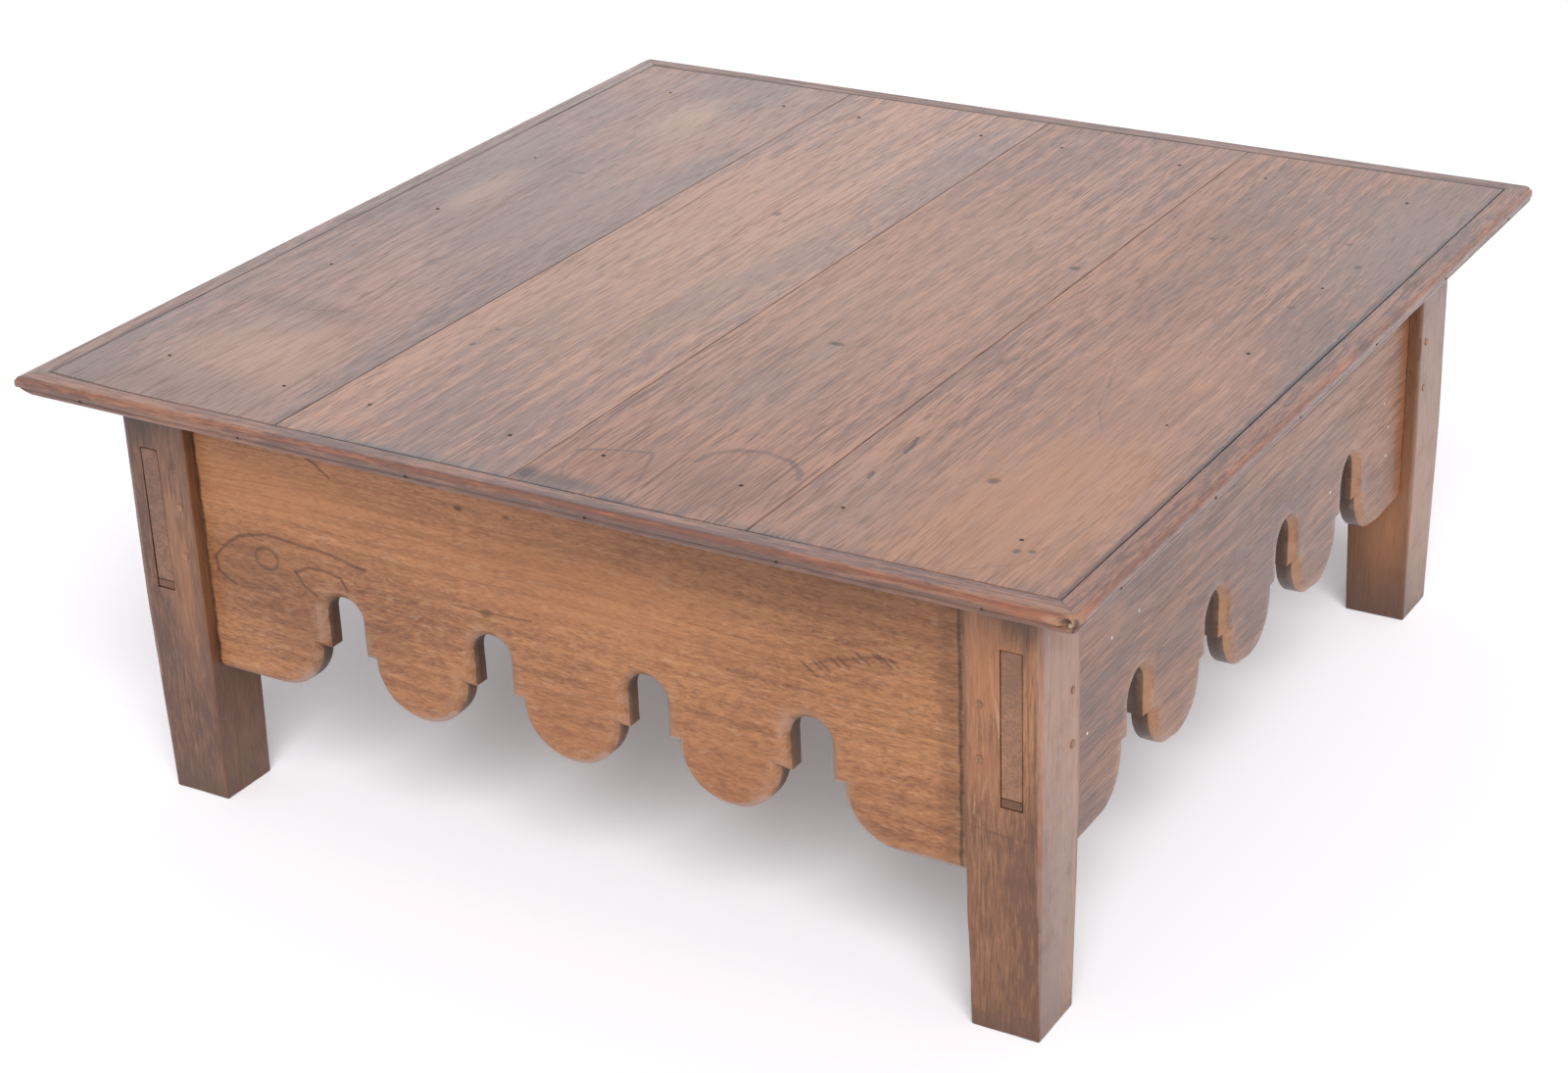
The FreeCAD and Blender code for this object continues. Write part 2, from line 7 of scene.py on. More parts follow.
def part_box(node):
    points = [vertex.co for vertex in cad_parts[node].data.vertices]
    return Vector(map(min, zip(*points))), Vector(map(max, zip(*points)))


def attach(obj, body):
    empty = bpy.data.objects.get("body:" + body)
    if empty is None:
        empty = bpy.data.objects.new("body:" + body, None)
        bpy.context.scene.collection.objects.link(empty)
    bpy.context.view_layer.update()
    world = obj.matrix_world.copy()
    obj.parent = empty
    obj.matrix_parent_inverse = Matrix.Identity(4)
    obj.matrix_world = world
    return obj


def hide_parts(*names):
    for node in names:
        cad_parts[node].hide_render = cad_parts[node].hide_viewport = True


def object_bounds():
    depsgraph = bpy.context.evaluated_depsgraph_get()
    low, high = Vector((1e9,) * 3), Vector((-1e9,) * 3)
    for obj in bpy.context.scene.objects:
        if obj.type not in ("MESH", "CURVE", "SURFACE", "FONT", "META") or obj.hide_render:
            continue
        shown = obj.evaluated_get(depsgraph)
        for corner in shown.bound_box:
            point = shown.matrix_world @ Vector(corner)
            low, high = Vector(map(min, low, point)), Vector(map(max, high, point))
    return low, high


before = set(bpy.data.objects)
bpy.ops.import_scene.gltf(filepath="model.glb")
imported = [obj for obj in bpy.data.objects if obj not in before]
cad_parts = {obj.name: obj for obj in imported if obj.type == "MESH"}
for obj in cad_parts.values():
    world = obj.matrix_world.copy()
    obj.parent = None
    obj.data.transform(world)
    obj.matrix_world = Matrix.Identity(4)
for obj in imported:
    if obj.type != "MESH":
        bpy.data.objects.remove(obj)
cadLow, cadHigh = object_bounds()
mm = 0.001
scene = bpy.context.scene
sideTurns = {"front": 0, "right": 90, "back": 180, "left": 270}
corners = {"front_left": (-1, -1), "front_right": (1, -1), "back_left": (-1, 1), "back_right": (1, 1)}
print("frame loaded:", len(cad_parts), "nodes")


# Small tools for meshes

rimShares = (0.0, 0.12, 0.3, 0.55, 1.0)
wornEdge = {"slow": (0.55, 22), "quick": (0.3, 90), "least": 0.15 * mm, "hollowScale": 9,
            "reach": 0.9, "leastReach": 0.4 * mm}


def smooth(value, low, high):
    part = min(max((value - low) / (high - low), 0.0), 1.0)
    return part * part * (3 - 2 * part)


def ripple(point, scale, seed):
    # smooth noise from -1 to 1
    return noise.noise(Vector(point) * scale + Vector((seed * 7.31, seed * 3.77, seed * 5.13)))


def dress(piece, slot, *nodes):
    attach(piece, "root")
    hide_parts(*nodes)


def addPiece(name, verts, faces, marks, material, slot, node, creaseDegrees=38):
    # marks holds the point attributes that the material reads
    mesh = bpy.data.meshes.new(name)
    mesh.from_pydata([tuple(v) for v in verts], [], faces)
    for mark, values in marks.items():
        mesh.attributes.new(mark, "FLOAT", "POINT").data.foreach_set("value", values)
    mesh.polygons.foreach_set("use_smooth", [True] * len(mesh.polygons))
    mesh.set_sharp_from_angle(angle=math.radians(creaseDegrees))
    mesh.materials.append(material)
    mesh.update()
    mesh.validate()
    piece = bpy.data.objects.new(name, mesh)
    scene.collection.objects.link(piece)
    dress(piece, slot, node)


def setOnSide(verts, side, low, high):
    # turns a mesh built facing -y to its side of the table, with y 0 on the outer face of the box
    turn = Matrix.Rotation(math.radians(sideTurns[side]), 4, "Z")
    outward = {"front": (0, low.y, 0), "right": (high.x, 0, 0), "back": (0, high.y, 0), "left": (low.x, 0, 0)}
    return [turn @ v + Vector(outward[side]) for v in verts]


def gridLines(low, high, step, rim, extra=()):
    # places from one end to the other, closer together in the rim near both ends
    lines = {low + rim * share for share in rimShares} | {high - rim * share for share in rimShares}
    count = max(1, round((high - low - 2 * rim) / step))
    lines |= {low + rim + (high - low - 2 * rim) * i / count for i in range(1, count)}
    kept = [line for line in lines if all(abs(line - other) > step * 0.25 for other in extra)]
    return sorted(kept + list(extra))


def wornBox(low, high, step, rim, radius, seed, extra=((), (), ()), waviness=0.0):
    # a gridded box whose arrises are rounded by wear, as vertices, faces and how worn each vertex is
    low, high = Vector(low), Vector(high)
    lines = [gridLines(low[a], high[a], step, rim, extra[a]) for a in range(3)]
    last = [len(line) - 1 for line in lines]
    index, verts, wear, faces = {}, [], [], []
    (slow, slowScale), (quick, quickScale) = wornEdge["slow"], wornEdge["quick"]

    def vertex(key):
        if key not in index:
            flat = Vector([line[i] for line, i in zip(lines, key)])
            edge = sorted(min(flat[a] - low[a], high[a] - flat[a]) for a in range(3))[1]
            uneven = slow * ripple(flat, slowScale, seed) + quick * ripple(flat, quickScale, seed + 1)
            local = max(wornEdge["least"], min(radius * (1 + uneven), rim))
            core = Vector([min(max(flat[a], low[a] + local), high[a] - local) for a in range(3)])
            hollow = waviness * (0.5 + 0.5 * ripple(flat, wornEdge["hollowScale"], seed + 2))
            index[key] = len(verts)
            verts.append(core + (flat - core).normalized() * (local - hollow))
            wear.append(math.exp(-edge / max(radius * wornEdge["reach"], wornEdge["leastReach"])))
        return index[key]

    for a in range(3):
        b, c = (a + 1) % 3, (a + 2) % 3
        for side in (0, last[a]):
            for i in range(last[b]):
                for j in range(last[c]):
                    ring = []
                    for di, dj in ((0, 0), (1, 0), (1, 1), (0, 1)):
                        place = {a: side, b: i + di, c: j + dj}
                        ring.append(vertex((place[0], place[1], place[2])))
                    faces.append(ring if side else ring[::-1])
    return verts, faces, wear


def sink(verts, faces, marks, inside, shift, mark):
    # pushes the faces that the test picks inwards, as a recess with straight walls
    sunk = [face for face in faces if inside(sum((verts[i] for i in face), Vector()) / len(face))]
    chosen = {tuple(face) for face in sunk}
    kept = [face for face in faces if tuple(face) not in chosen]
    sides = {}
    copies = {}
    for face in sunk:
        for a, b in zip(face, face[1:] + face[:1]):
            sides[(a, b)] = True
            if a not in copies:
                copies[a] = len(verts)
                verts.append(verts[a] + shift)
                for name, values in marks.items():
                    values.append(1.0 if name == mark else values[a])
    kept += [[a, b, copies[b], copies[a]] for a, b in sides if (b, a) not in sides]
    return kept + [[copies[i] for i in face] for face in sunk]


# Wood materials: bands, streaks and pores along the grain, with the marks that each board carries

grainTurns = {"x": (0, 0, 0), "y": (0, 0, -math.pi / 2), "z": (0, math.pi / 2, 0)}
# each layer's scale along and across the grain, its detail and its roughness
grainLayers = {"broad": ((1.8, 17, 17), 3.0, 0.55), "mottle": ((42, 85, 85), 4.0, 0.65),
               "streak": ((7, 85, 85), 4.0, 0.6)}
blotchShares = (0.6, 1.3, 1.3)
# where each kind of grain starts and is full
grainRanges = {"lines": (0.0, 0.05), "lineBands": (0.36, 0.62), "pores": (0.54, 0.70), "flecks": (0.57, 0.70),
               "broken": (0.34, 0.60)}
grainColours = {"flecks": "pale", "lines": "umber", "pores": "umber"}
grainDepths = {"fine": 0.5, "pores": 0.6, "lines": 0.7, "streak": 0.7, "dips": 1.6, "bump": 0.7 * mm}
woodFinish = {"roughShift": (-0.05, 0.07), "polish": 0.26, "openGrain": 0.6, "wander": 0.005,
              "dips": ("dark", "ink")}
markColours = {
    "dark": (0.030, 0.018, 0.013), "ink": (0.040, 0.040, 0.050), "brown": (0.115, 0.046, 0.020),
    "umber": (0.070, 0.030, 0.014), "pale": (0.50, 0.30, 0.17), "gold": (0.40, 0.165, 0.068),
    "ochre": (0.36, 0.17, 0.070), "grey": (0.21, 0.135, 0.100), "rust": (0.36, 0.105, 0.032),
    "tan": (0.38, 0.20, 0.105), "white": (0.78, 0.74, 0.68), "dusty": (0.42, 0.29, 0.235),
    "ember": (0.165, 0.044, 0.015), "flame": (0.56, 0.20, 0.060),
}
plainLook = {
    "grain": "x", "shift": (0, 0, 0), "drift": 0.02, "heart": (0, 0.06, 0.11), "heartTilt": (0, 0.02, 0.05),
    "ringScale": 24.0, "lineScale": 44.0, "hairScale": (3, 95, 95), "blotchScale": 5.0, "blotch": 0.8,
    "broad": 0.35, "figure": 0.05, "mottle": 0.4, "streak": 0.25, "fine": 0.85, "base": (0.33, 0.13, 0.055),
    "spread": 0.28, "pores": 0.35, "lines": 0.25, "flecks": 0.0, "bump": 0.3, "rough": 0.46, "gloss": 0.5,
    "wax": 0.2, "waxRough": 0.3, "polish": "", "patch": (42, 42, 42), "face": ("z", 0), "marks": (),
    "edges": (),
}


class Tree:
    # a short way to add a material's or a world's nodes and join them
    def __init__(self, owner):
        owner.use_nodes = True
        self.owner = owner
        self.nodes = owner.node_tree.nodes
        self.links = owner.node_tree.links
        self.nodes.clear()

    def add(self, kind, inputs=(), **settings):
        made = self.nodes.new(kind)
        for key, value in settings.items():
            setattr(made, key, value)
        for key, value in dict(inputs).items():
            if isinstance(value, bpy.types.NodeSocket):
                self.links.new(value, made.inputs[key])
            else:
                made.inputs[key].default_value = value
        return made

    def mapped(self, source, location=(0, 0, 0), rotation=(0, 0, 0), scale=(1, 1, 1)):
        inputs = {"Vector": source, "Location": location, "Rotation": rotation, "Scale": scale}
        return self.add("ShaderNodeMapping", inputs).outputs["Vector"]

    def noise(self, source, scale, detail=3.0, roughness=0.55, shift=(0, 0, 0)):
        source = self.mapped(source, shift, scale=scale)
        inputs = {"Vector": source, "Scale": 1.0, "Detail": detail, "Roughness": roughness}
        return self.add("ShaderNodeTexNoise", inputs).outputs["Fac"]

    def vector(self, operation, first, second=(0, 0, 0)):
        made = self.add("ShaderNodeVectorMath", {0: first, 1: second}, operation=operation)
        return made.outputs["Value" if operation in ("LENGTH", "DOT_PRODUCT") else "Vector"]

    def math(self, operation, first, second=0.5, clamp=False):
        made = self.add("ShaderNodeMath", {0: first, 1: second}, operation=operation, use_clamp=clamp)
        return made.outputs[0]

    def less(self, value, factor, amount):
        return self.math("SUBTRACT", value, self.math("MULTIPLY", factor, amount))

    def range(self, value, low, high, first=0.0, last=1.0):
        inputs = {"Value": value, "From Min": low, "From Max": high, "To Min": first, "To Max": last}
        return self.add("ShaderNodeMapRange", inputs, interpolation_type="SMOOTHSTEP").outputs["Result"]

    def mix(self, factor, first, second):
        colours = [c if isinstance(c, bpy.types.NodeSocket) else (*c, 1.0) for c in (first, second)]
        inputs = {0: factor, 6: colours[0], 7: colours[1]}
        return self.add("ShaderNodeMix", inputs, data_type="RGBA").outputs[2]

    def mark(self, name):
        return self.add("ShaderNodeAttribute", attribute_name=name).outputs["Fac"]

    def seen(self):
        # 1 for what the camera sees straight, in a mirror or through glass
        path = self.add("ShaderNodeLightPath")
        either = self.math("MAXIMUM", path.outputs["Is Camera Ray"], path.outputs["Is Glossy Ray"])
        return self.math("MAXIMUM", either, path.outputs["Is Transmission Ray"])


def onFace(face, a, b, through):
    # two values along a board's face, and one through it, as x, y, z
    return {"x": (through, a, b), "y": (a, through, b), "z": (a, b, through)}[face[0]]


def blemish(tree, coords, face, kind, soft, points):
    # factor of one mark: a spot fills its outline, a ring follows it, a stroke follows a line of points
    if kind == "stroke":
        nearest = None
        places = [Vector(onFace(face, a, b, face[1])) * mm for a, b in points]
        for first, last in zip(places, places[1:]):
            run = last - first
            away = tree.vector("SUBTRACT", coords, tuple(first))
            share = tree.vector("DOT_PRODUCT", away, tuple(run / run.length_squared))
            share = tree.math("MULTIPLY", share, 1.0, clamp=True)
            reach = tree.add("ShaderNodeCombineXYZ", {"X": share, "Y": share, "Z": share}).outputs["Vector"]
            along = tree.vector("MULTIPLY", reach, tuple(run))
            distance = tree.vector("LENGTH", tree.vector("SUBTRACT", away, along))
            nearest = distance if nearest is None else tree.math("MINIMUM", nearest, distance)
        return tree.range(nearest, 0.3 * soft * mm, 1.3 * soft * mm, 1.0, 0.0)
    centre, size = points
    away = tree.vector("SUBTRACT", coords, tuple(c * mm for c in onFace(face, *centre, face[1])))
    scaled = tree.vector("MULTIPLY", away, tuple(1 / (s * mm) for s in onFace(face, *size, 18)))
    distance = tree.vector("LENGTH", scaled)
    if kind == "ring":
        distance = tree.math("ABSOLUTE", tree.math("SUBTRACT", distance, 1.0))
        return tree.range(distance, 0.0, soft, 1.0, 0.0)
    return tree.range(distance, 1 - soft, 1 + soft, 1.0, 0.0)


def toneSet(base):
    # dark, middle and light of one wood
    r, g, b = base
    return (r * 0.50, g * 0.44, b * 0.47), base, (r * 1.45, g * 1.55, b * 1.62)


def grainSources(tree, look):
    # places on the board, straight and bent along the grain, and the noise of each layer
    coords = tree.add("ShaderNodeTexCoord").outputs["Object"]
    along = tree.mapped(coords, look["shift"], grainTurns[look["grain"]])
    drift = tree.math("SUBTRACT", tree.noise(along, (2.2, 6, 6), 2.0), 0.5)
    bend = tree.add("ShaderNodeCombineXYZ", {"Y": drift, "Z": drift}).outputs["Vector"]
    bent = tree.vector("ADD", along, tree.vector("MULTIPLY", bend, (0, look["drift"], look["drift"])))
    heart = tree.mapped(bent, look["heart"], look["heartTilt"], (0.16, 1, 1))
    rings = {"Vector": heart, "Scale": look["ringScale"], "Distortion": 2.2, "Detail": 3.0,
             "Detail Scale": 1.2}
    layers = {"figure": tree.add("ShaderNodeTexWave", rings, wave_type="RINGS").outputs["Fac"],
              "blotch": tree.noise(along, tuple(look["blotchScale"] * share for share in blotchShares))}
    for layer, recipe in grainLayers.items():
        layers[layer] = tree.noise(bent, *recipe)
    layers["fine"] = tree.noise(bent, (look["lineScale"], 500, 500), 3.0, 0.7)
    return coords, along, bent, layers


def tonedColour(tree, look, layers):
    # the wood's own colour, from dark to light by the sum of its layers
    tone = 0.5
    for layer, source in layers.items():
        tone = tree.math("ADD", tree.math("MULTIPLY", tree.math("SUBTRACT", source, 0.5), look[layer]), tone)
    ramp = tree.add("ShaderNodeValToRGB", {"Fac": tone})
    stops = ramp.color_ramp.elements
    for side, colour in zip((-1, 0, 1), toneSet(look["base"])):
        stops.new(0.5 + side * look["spread"]).color = (*colour, 1.0)
    stops.remove(stops[0])
    stops.remove(stops[len(stops) - 1])
    return ramp.outputs["Color"]


def openGrain(tree, look, bent, broad):
    # factors of the flecks, the dark lines and the pores
    flecks = tree.range(tree.noise(bent, (60, 210, 210), shift=(3, 5, 7)), *grainRanges["flecks"])
    hair = tree.noise(bent, look["hairScale"], 2.0)
    hair = tree.math("ABSOLUTE", tree.math("SUBTRACT", hair, 0.5))
    lines = tree.range(hair, *grainRanges["lines"], 1.0, 0.0)
    lines = tree.math("MULTIPLY", lines, tree.range(broad, *grainRanges["lineBands"]))
    pores = tree.noise(bent, (look["lineScale"] * 1.15, 680, 680), 1.0)
    return {"flecks": flecks, "lines": lines, "pores": tree.range(pores, *grainRanges["pores"])}


def addMarks(tree, look, coords, streak, colour):
    # a row of marks holds their kind, colour, strength and softness, then the numbers of each mark in mm:
    # the middle and half sizes of a spot or a ring, or the points of a stroke, along the board's face
    wander = tree.add("ShaderNodeTexNoise", {"Vector": coords, "Scale": 45.0, "Detail": 4.0}).outputs["Color"]
    wander = tree.vector("SUBTRACT", wander, (0.5, 0.5, 0.5))
    wander = tree.vector("MULTIPLY", wander, (woodFinish["wander"],) * 3)
    worn = tree.vector("ADD", coords, wander)
    broken = tree.range(streak, *grainRanges["broken"], 0.72, 1.0)
    dips = []
    for kind, shade, strength, soft, *shapes in look["marks"]:
        for shape in shapes:
            factor = blemish(tree, worn, look["face"], kind, soft, list(zip(shape[::2], shape[1::2])))
            factor = tree.math("MULTIPLY", tree.math("MULTIPLY", factor, broken), strength)
            colour = tree.mix(factor, colour, markColours[shade])
            if shade in woodFinish["dips"]:
                dips.append(factor)
    return colour, dips


def grainRelief(tree, look, layers, grain, dips):
    # the bumpy normal, and how far the wood is open: open grain and stains hold no wax
    deep = grainDepths
    pores, lines = grain["pores"], grain["lines"]
    height = tree.less(tree.math("MULTIPLY", layers["fine"], deep["fine"]), pores, deep["pores"])
    height = tree.less(height, lines, deep["lines"])
    height = tree.math("ADD", height, tree.math("MULTIPLY", layers["streak"], deep["streak"]))
    bare = tree.math("MULTIPLY", tree.math("MAXIMUM", pores, lines), woodFinish["openGrain"])
    for factor in dips:
        height = tree.less(height, factor, deep["dips"])
        bare = tree.math("MAXIMUM", bare, factor)
    bump = tree.add("ShaderNodeBump", {"Height": height, "Strength": look["bump"], "Distance": deep["bump"]})
    return bump.outputs["Normal"], bare


def makeWood(name, **changes):
    look = {**plainLook, **changes}
    tree = Tree(bpy.data.materials.new(name))
    coords, along, bent, layers = grainSources(tree, look)
    colour = tonedColour(tree, look, layers)
    grain = openGrain(tree, look, bent, layers["broad"])
    for layer, factor in grain.items():
        factor = tree.math("MULTIPLY", factor, look[layer])
        colour = tree.mix(factor, colour, markColours[grainColours[layer]])
    patchy = tree.noise(along, look["patch"], 5.0, 0.7)
    for mark, shade, low, high, strength in look["edges"]:
        reach = tree.math("MULTIPLY", tree.mark(mark), tree.range(patchy, low, high))
        colour = tree.mix(tree.math("MULTIPLY", reach, strength), colour, markColours[shade])
    colour, dips = addMarks(tree, look, coords, layers["streak"], colour)

    normal, bare = grainRelief(tree, look, layers, grain, dips)
    smoother, rougher = woodFinish["roughShift"]
    rough = tree.range(layers["blotch"], 0.3, 0.7, look["rough"] + smoother, look["rough"] + rougher)
    if look["polish"]:
        rough = tree.less(rough, tree.mark(look["polish"]), woodFinish["polish"])
    waxed = tree.math("MULTIPLY", tree.math("SUBTRACT", 1.0, bare), look["wax"])
    shader = tree.add("ShaderNodeBsdfPrincipled", {
        "Base Color": colour, "Roughness": rough, "Normal": normal, "Specular IOR Level": look["gloss"],
        "Coat Weight": waxed, "Coat Roughness": look["waxRough"], "Coat Normal": normal,
    })
    tree.add("ShaderNodeOutputMaterial", {"Surface": shader.outputs["BSDF"]})
    return tree.owner


# Legs: square posts, slimmer at the foot, with the through mortise open on the outer face

legShape = {"step": 9 * mm, "rim": 5 * mm, "arris": 1.9 * mm, "waviness": 0.5 * mm, "foot": 60 * mm,
            "taperHeight": 190 * mm, "mortiseDepth": 7 * mm, "mortiseTop": 343 * mm, "mortiseFoot": 209 * mm,
            "gap": 0.9 * mm, "tenonThick": 17.5 * mm, "footFade": 30 * mm, "shadeDepth": 45 * mm,
            "skin": 4 * mm}
# the outer row paints a sheen on the outer side faces
legEdges = (("outer", "dusty", 0.1, 0.6, 0.55), ("wear", "rust", 0.46, 0.62, 0.5),
            # the inner row paints shade on the inner faces
            ("wear", "pale", 0.62, 0.74, 0.4), ("inner", "brown", 0.0, 0.35, 0.5),
            ("gap", "dark", -0.2, 0.0, 0.94), ("foot", "umber", 0.25, 0.6, 0.85),
            # the shade row paints shade under the top's overhang
            ("shade", "umber", 0.1, 0.5, 0.5))
legSheen = {"grain": "z", "edges": legEdges, "ringScale": 30.0, "spread": 0.19, "rough": 0.46, "gloss": 0.55,
            "wax": 0.3, "blotch": 1.4, "broad": 0.6, "streak": 0.3, "fine": 1.1, "lines": 0.5}
legLooks = {
    "front_left": {"base": (0.165, 0.071, 0.033), "face": ("y", -436), "marks": (
        ("stroke", "umber", 0.8, 1.0, (-393, 335, -392, 318, -391, 300)),
        ("stroke", "umber", 0.8, 0.9, (-391, 284, -390, 258)),
        ("spot", "grey", 0.45, 0.5, (-391, 289, 5, 6)),
        ("spot", "gold", 0.35, 0.9, (-392, 205, 14, 70)),
        ("spot", "dark", 0.5, 0.8, (-420, 372, 30, 16)),
        ("spot", "umber", 0.6, 0.8, (-412, 10, 40, 22)),
        ("stroke", "umber", 0.7, 2.0, (-440, 395, -441, 300, -440, 200, -439, 120, -437, 40)),
        ("stroke", "umber", 0.5, 1.4, (-378, 180, -379, 120)),
    )},
    "front_right": {"base": (0.268, 0.113, 0.048), "face": ("y", -436), "marks": (
        ("stroke", "dark", 0.95, 2.6, (375, 372, 375, 352)),
        ("stroke", "dark", 0.7, 1.2, (376, 352, 377, 312)),
        ("stroke", "pale", 0.55, 1.6, (399, 334, 401, 305, 404, 288, 406, 270)),
        ("stroke", "pale", 0.5, 1.2, (403, 300, 406, 282), (395, 228, 391, 212)),
        ("stroke", "dark", 0.6, 0.9, (389, 288, 390, 274)),
        ("stroke", "umber", 0.6, 0.8, (389, 270, 388, 252)),
        ("stroke", "pale", 0.5, 1.0, (385, 214, 384, 196)),
        ("stroke", "pale", 0.4, 1.0, (401, 222, 398, 206)),
        ("spot", "gold", 0.75, 0.9, (395, 330, 20, 46)),
        ("spot", "gold", 0.6, 0.9, (394, 236, 20, 26)),
        ("spot", "dark", 0.55, 0.8, (425, 370, 18, 18)),
        ("stroke", "rust", 0.7, 1.8, (441, 360, 441, 130)),
        ("spot", "brown", 0.45, 0.9, (408, 75, 60, 130)),
        ("spot", "umber", 0.5, 0.8, (404, 4, 40, 14)),
        ("stroke", "umber", 0.5, 1.2, (380, 186, 410, 183, 436, 184)),
    )},
    "back_left": {"base": (0.215, 0.092, 0.041), "face": ("y", 436), "marks": (
        ("stroke", "umber", 0.8, 1.0, (-392, 330, -391, 262)),
        ("spot", "gold", 0.35, 0.9, (-395, 215, 16, 60)),
    )},
    # this leg's base is darker as painted shade, for faces that stand in the table's shadow
    "back_right": {"base": (0.18, 0.077, 0.036), "face": ("y", 369), "marks": (
        ("spot", "gold", 0.6, 0.9, (402, 110, 30, 80)),
        ("spot", "umber", 0.75, 0.9, (405, 0, 60, 54)),
        ("spot", "umber", 0.4, 0.9, (385, 60, 14, 40)),
        ("stroke", "umber", 0.7, 1.2, (440, 300, 440, 280)),
    )},
}


def legFaces(corner):
    # a leg's box, then x and y of its outer faces and of its inner ones
    low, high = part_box("leg_" + corner)
    sideX, sideY = corners[corner]
    x = (low.x, high.x)[::-sideX]
    y = (low.y, high.y)[::-sideY]
    return low, high, (x[0], y[0]), (x[1], y[1])


def makeLeg(corner, seed):
    low, high, outer, inner = legFaces(corner)
    sideX, sideY = corners[corner]
    middle = (low + high) / 2
    shape = legShape
    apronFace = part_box("apron_right")[0].x
    slotX = sorted(sideX * (apronFace + x) for x in (shape["tenonThick"] + shape["gap"], -shape["gap"]))
    slotZ = (shape["mortiseFoot"] - shape["gap"], shape["mortiseTop"] + shape["gap"])
    verts, faces, wear = wornBox(low, high, shape["step"], shape["rim"], shape["arris"], seed,
                                 (slotX, (), slotZ), shape["waviness"])
    marks = {"wear": wear, "gap": [0.0] * len(verts)}

    def inSlot(spot):
        atFace = abs(spot.y - outer[1]) < shape["rim"] * 0.5
        return atFace and slotX[0] < spot.x < slotX[1] and slotZ[0] < spot.z < slotZ[1]

    faces = sink(verts, faces, marks, inSlot, Vector((0, -sideY * shape["mortiseDepth"], 0)), "gap")
    slimmest = shape["foot"] / (high.x - low.x)
    for spot in verts:
        share = slimmest + (1 - slimmest) * min(spot.z / shape["taperHeight"], 1.0)
        spot.x = middle.x + (spot.x - middle.x) * share
        spot.y = middle.y + (spot.y - middle.y) * share
    skin = shape["skin"]
    marks["foot"] = [math.exp(-v.z / shape["footFade"]) for v in verts]
    # painted shade: the leg is darkened towards its top, where the top's overhang shades it
    marks["shade"] = [smooth(v.z, high.z - shape["shadeDepth"], high.z) for v in verts]
    # painted shade: the inner faces, towards the middle of the table, are marked to be darkened
    marks["inner"] = [float(min(abs(v.x - inner[0]), abs(v.y - inner[1])) < skin) for v in verts]
    # painted sheen: the outer side face along x is marked to be painted pale
    marks["outer"] = [float(abs(v.x - outer[0]) < skin) for v in verts]
    wood = makeWood("legWood_" + corner, shift=(seed * 0.37, seed * 0.21, seed * 0.13),
                    heart=(0, 0.03 * sideX, 0.045), **legSheen, **legLooks[corner])
    addPiece("leg_worn_" + corner, verts, faces, marks, wood, "frame_wood", "leg_" + corner)


for seed, corner in enumerate(corners, start=1):
    makeLeg(corner, seed)
print("legs made")


# Aprons: boards with arched notches and round lobes, the front arris chamfered by hand

scallop = {"notchWidth": 38 * mm, "notchHeight": 53 * mm, "notchStep": 10 * mm, "lobeWidth": 96 * mm,
           "lobeDrop": 48 * mm, "chamfer": 6.5 * mm, "fill": 8 * mm, "arcPoints": 22, "edgePoints": 6,
           "endPoints": 30, "topPoints": 80, "unevenness": 0.9 * mm, "roughness": 0.35 * mm,
           "hollow": 0.22 * mm, "unevenScale": 26, "roughScale": 60, "hollowScale": 14, "shadeDepth": 40 * mm}
# shares of the filling step: kept clear of the outline, kept from its ends, first place in a row, row to row
fillShares = {"clear": 0.5, "ends": 0.6, "first": 0.75, "row": 0.87}


def linePlaces(first, last, count):
    # points along a line, without its last one
    return [(first[0] + (last[0] - first[0]) * i / count, first[1] + (last[1] - first[1]) * i / count)
            for i in range(count)]


def arcPlaces(centre, radius, first, last, count):
    # points round an arc, without its last one
    angles = [math.radians(first + (last - first) * i / count) for i in range(count)]
    return [(centre[0] + radius * math.cos(a), centre[1] + radius * math.sin(a)) for a in angles]


def apronLoop(span, bottom, top, inset):
    # the outline at one inset, with the same number of points at every inset
    s = scallop
    halfNotch, halfLobe, drop = s["notchWidth"] / 2, s["lobeWidth"] / 2, s["lobeDrop"]
    shoulder, stepZ = halfNotch + s["notchStep"], bottom + drop
    archZ = stepZ + s["notchHeight"] - halfNotch
    pitch = 2 * (shoulder + halfLobe)
    notches = int((span - 2 * drop) // pitch)
    half = span / 2
    roundEnd = pitch * (notches - 1) / 2 + shoulder + drop
    few, many = s["edgePoints"], s["arcPoints"]
    narrow, wide, foot, ledge = halfNotch + inset, shoulder + inset, bottom + inset, stepZ + inset
    loop = []

    def follow(counts, *places):
        for first, last, count in zip(places, places[1:], counts):
            loop.extend(linePlaces(first, last, count))

    follow((few * 2,), (-half, foot), (-roundEnd, foot))
    loop += arcPlaces((-roundEnd, stepZ), drop - inset, -90, 0, many)
    for i in range(notches):
        x = pitch * (i - (notches - 1) / 2)
        follow((1, 3, few), (x - wide, stepZ), (x - wide, ledge), (x - narrow, ledge), (x - narrow, archZ))
        loop += arcPlaces((x, archZ), narrow, 180, 0, many)
        follow((few, 3, 1), (x + narrow, archZ), (x + narrow, ledge), (x + wide, ledge), (x + wide, stepZ))
        if i < notches - 1:
            loop += arcPlaces((x + pitch / 2, stepZ), halfLobe - inset, 180, 360, many * 2)
    loop += arcPlaces((roundEnd, stepZ), drop - inset, 180, 270, many)
    follow((few * 2, s["endPoints"], s["topPoints"], s["endPoints"]),
           (roundEnd, foot), (half, foot), (half, top), (-half, top), (-half, foot))
    return loop


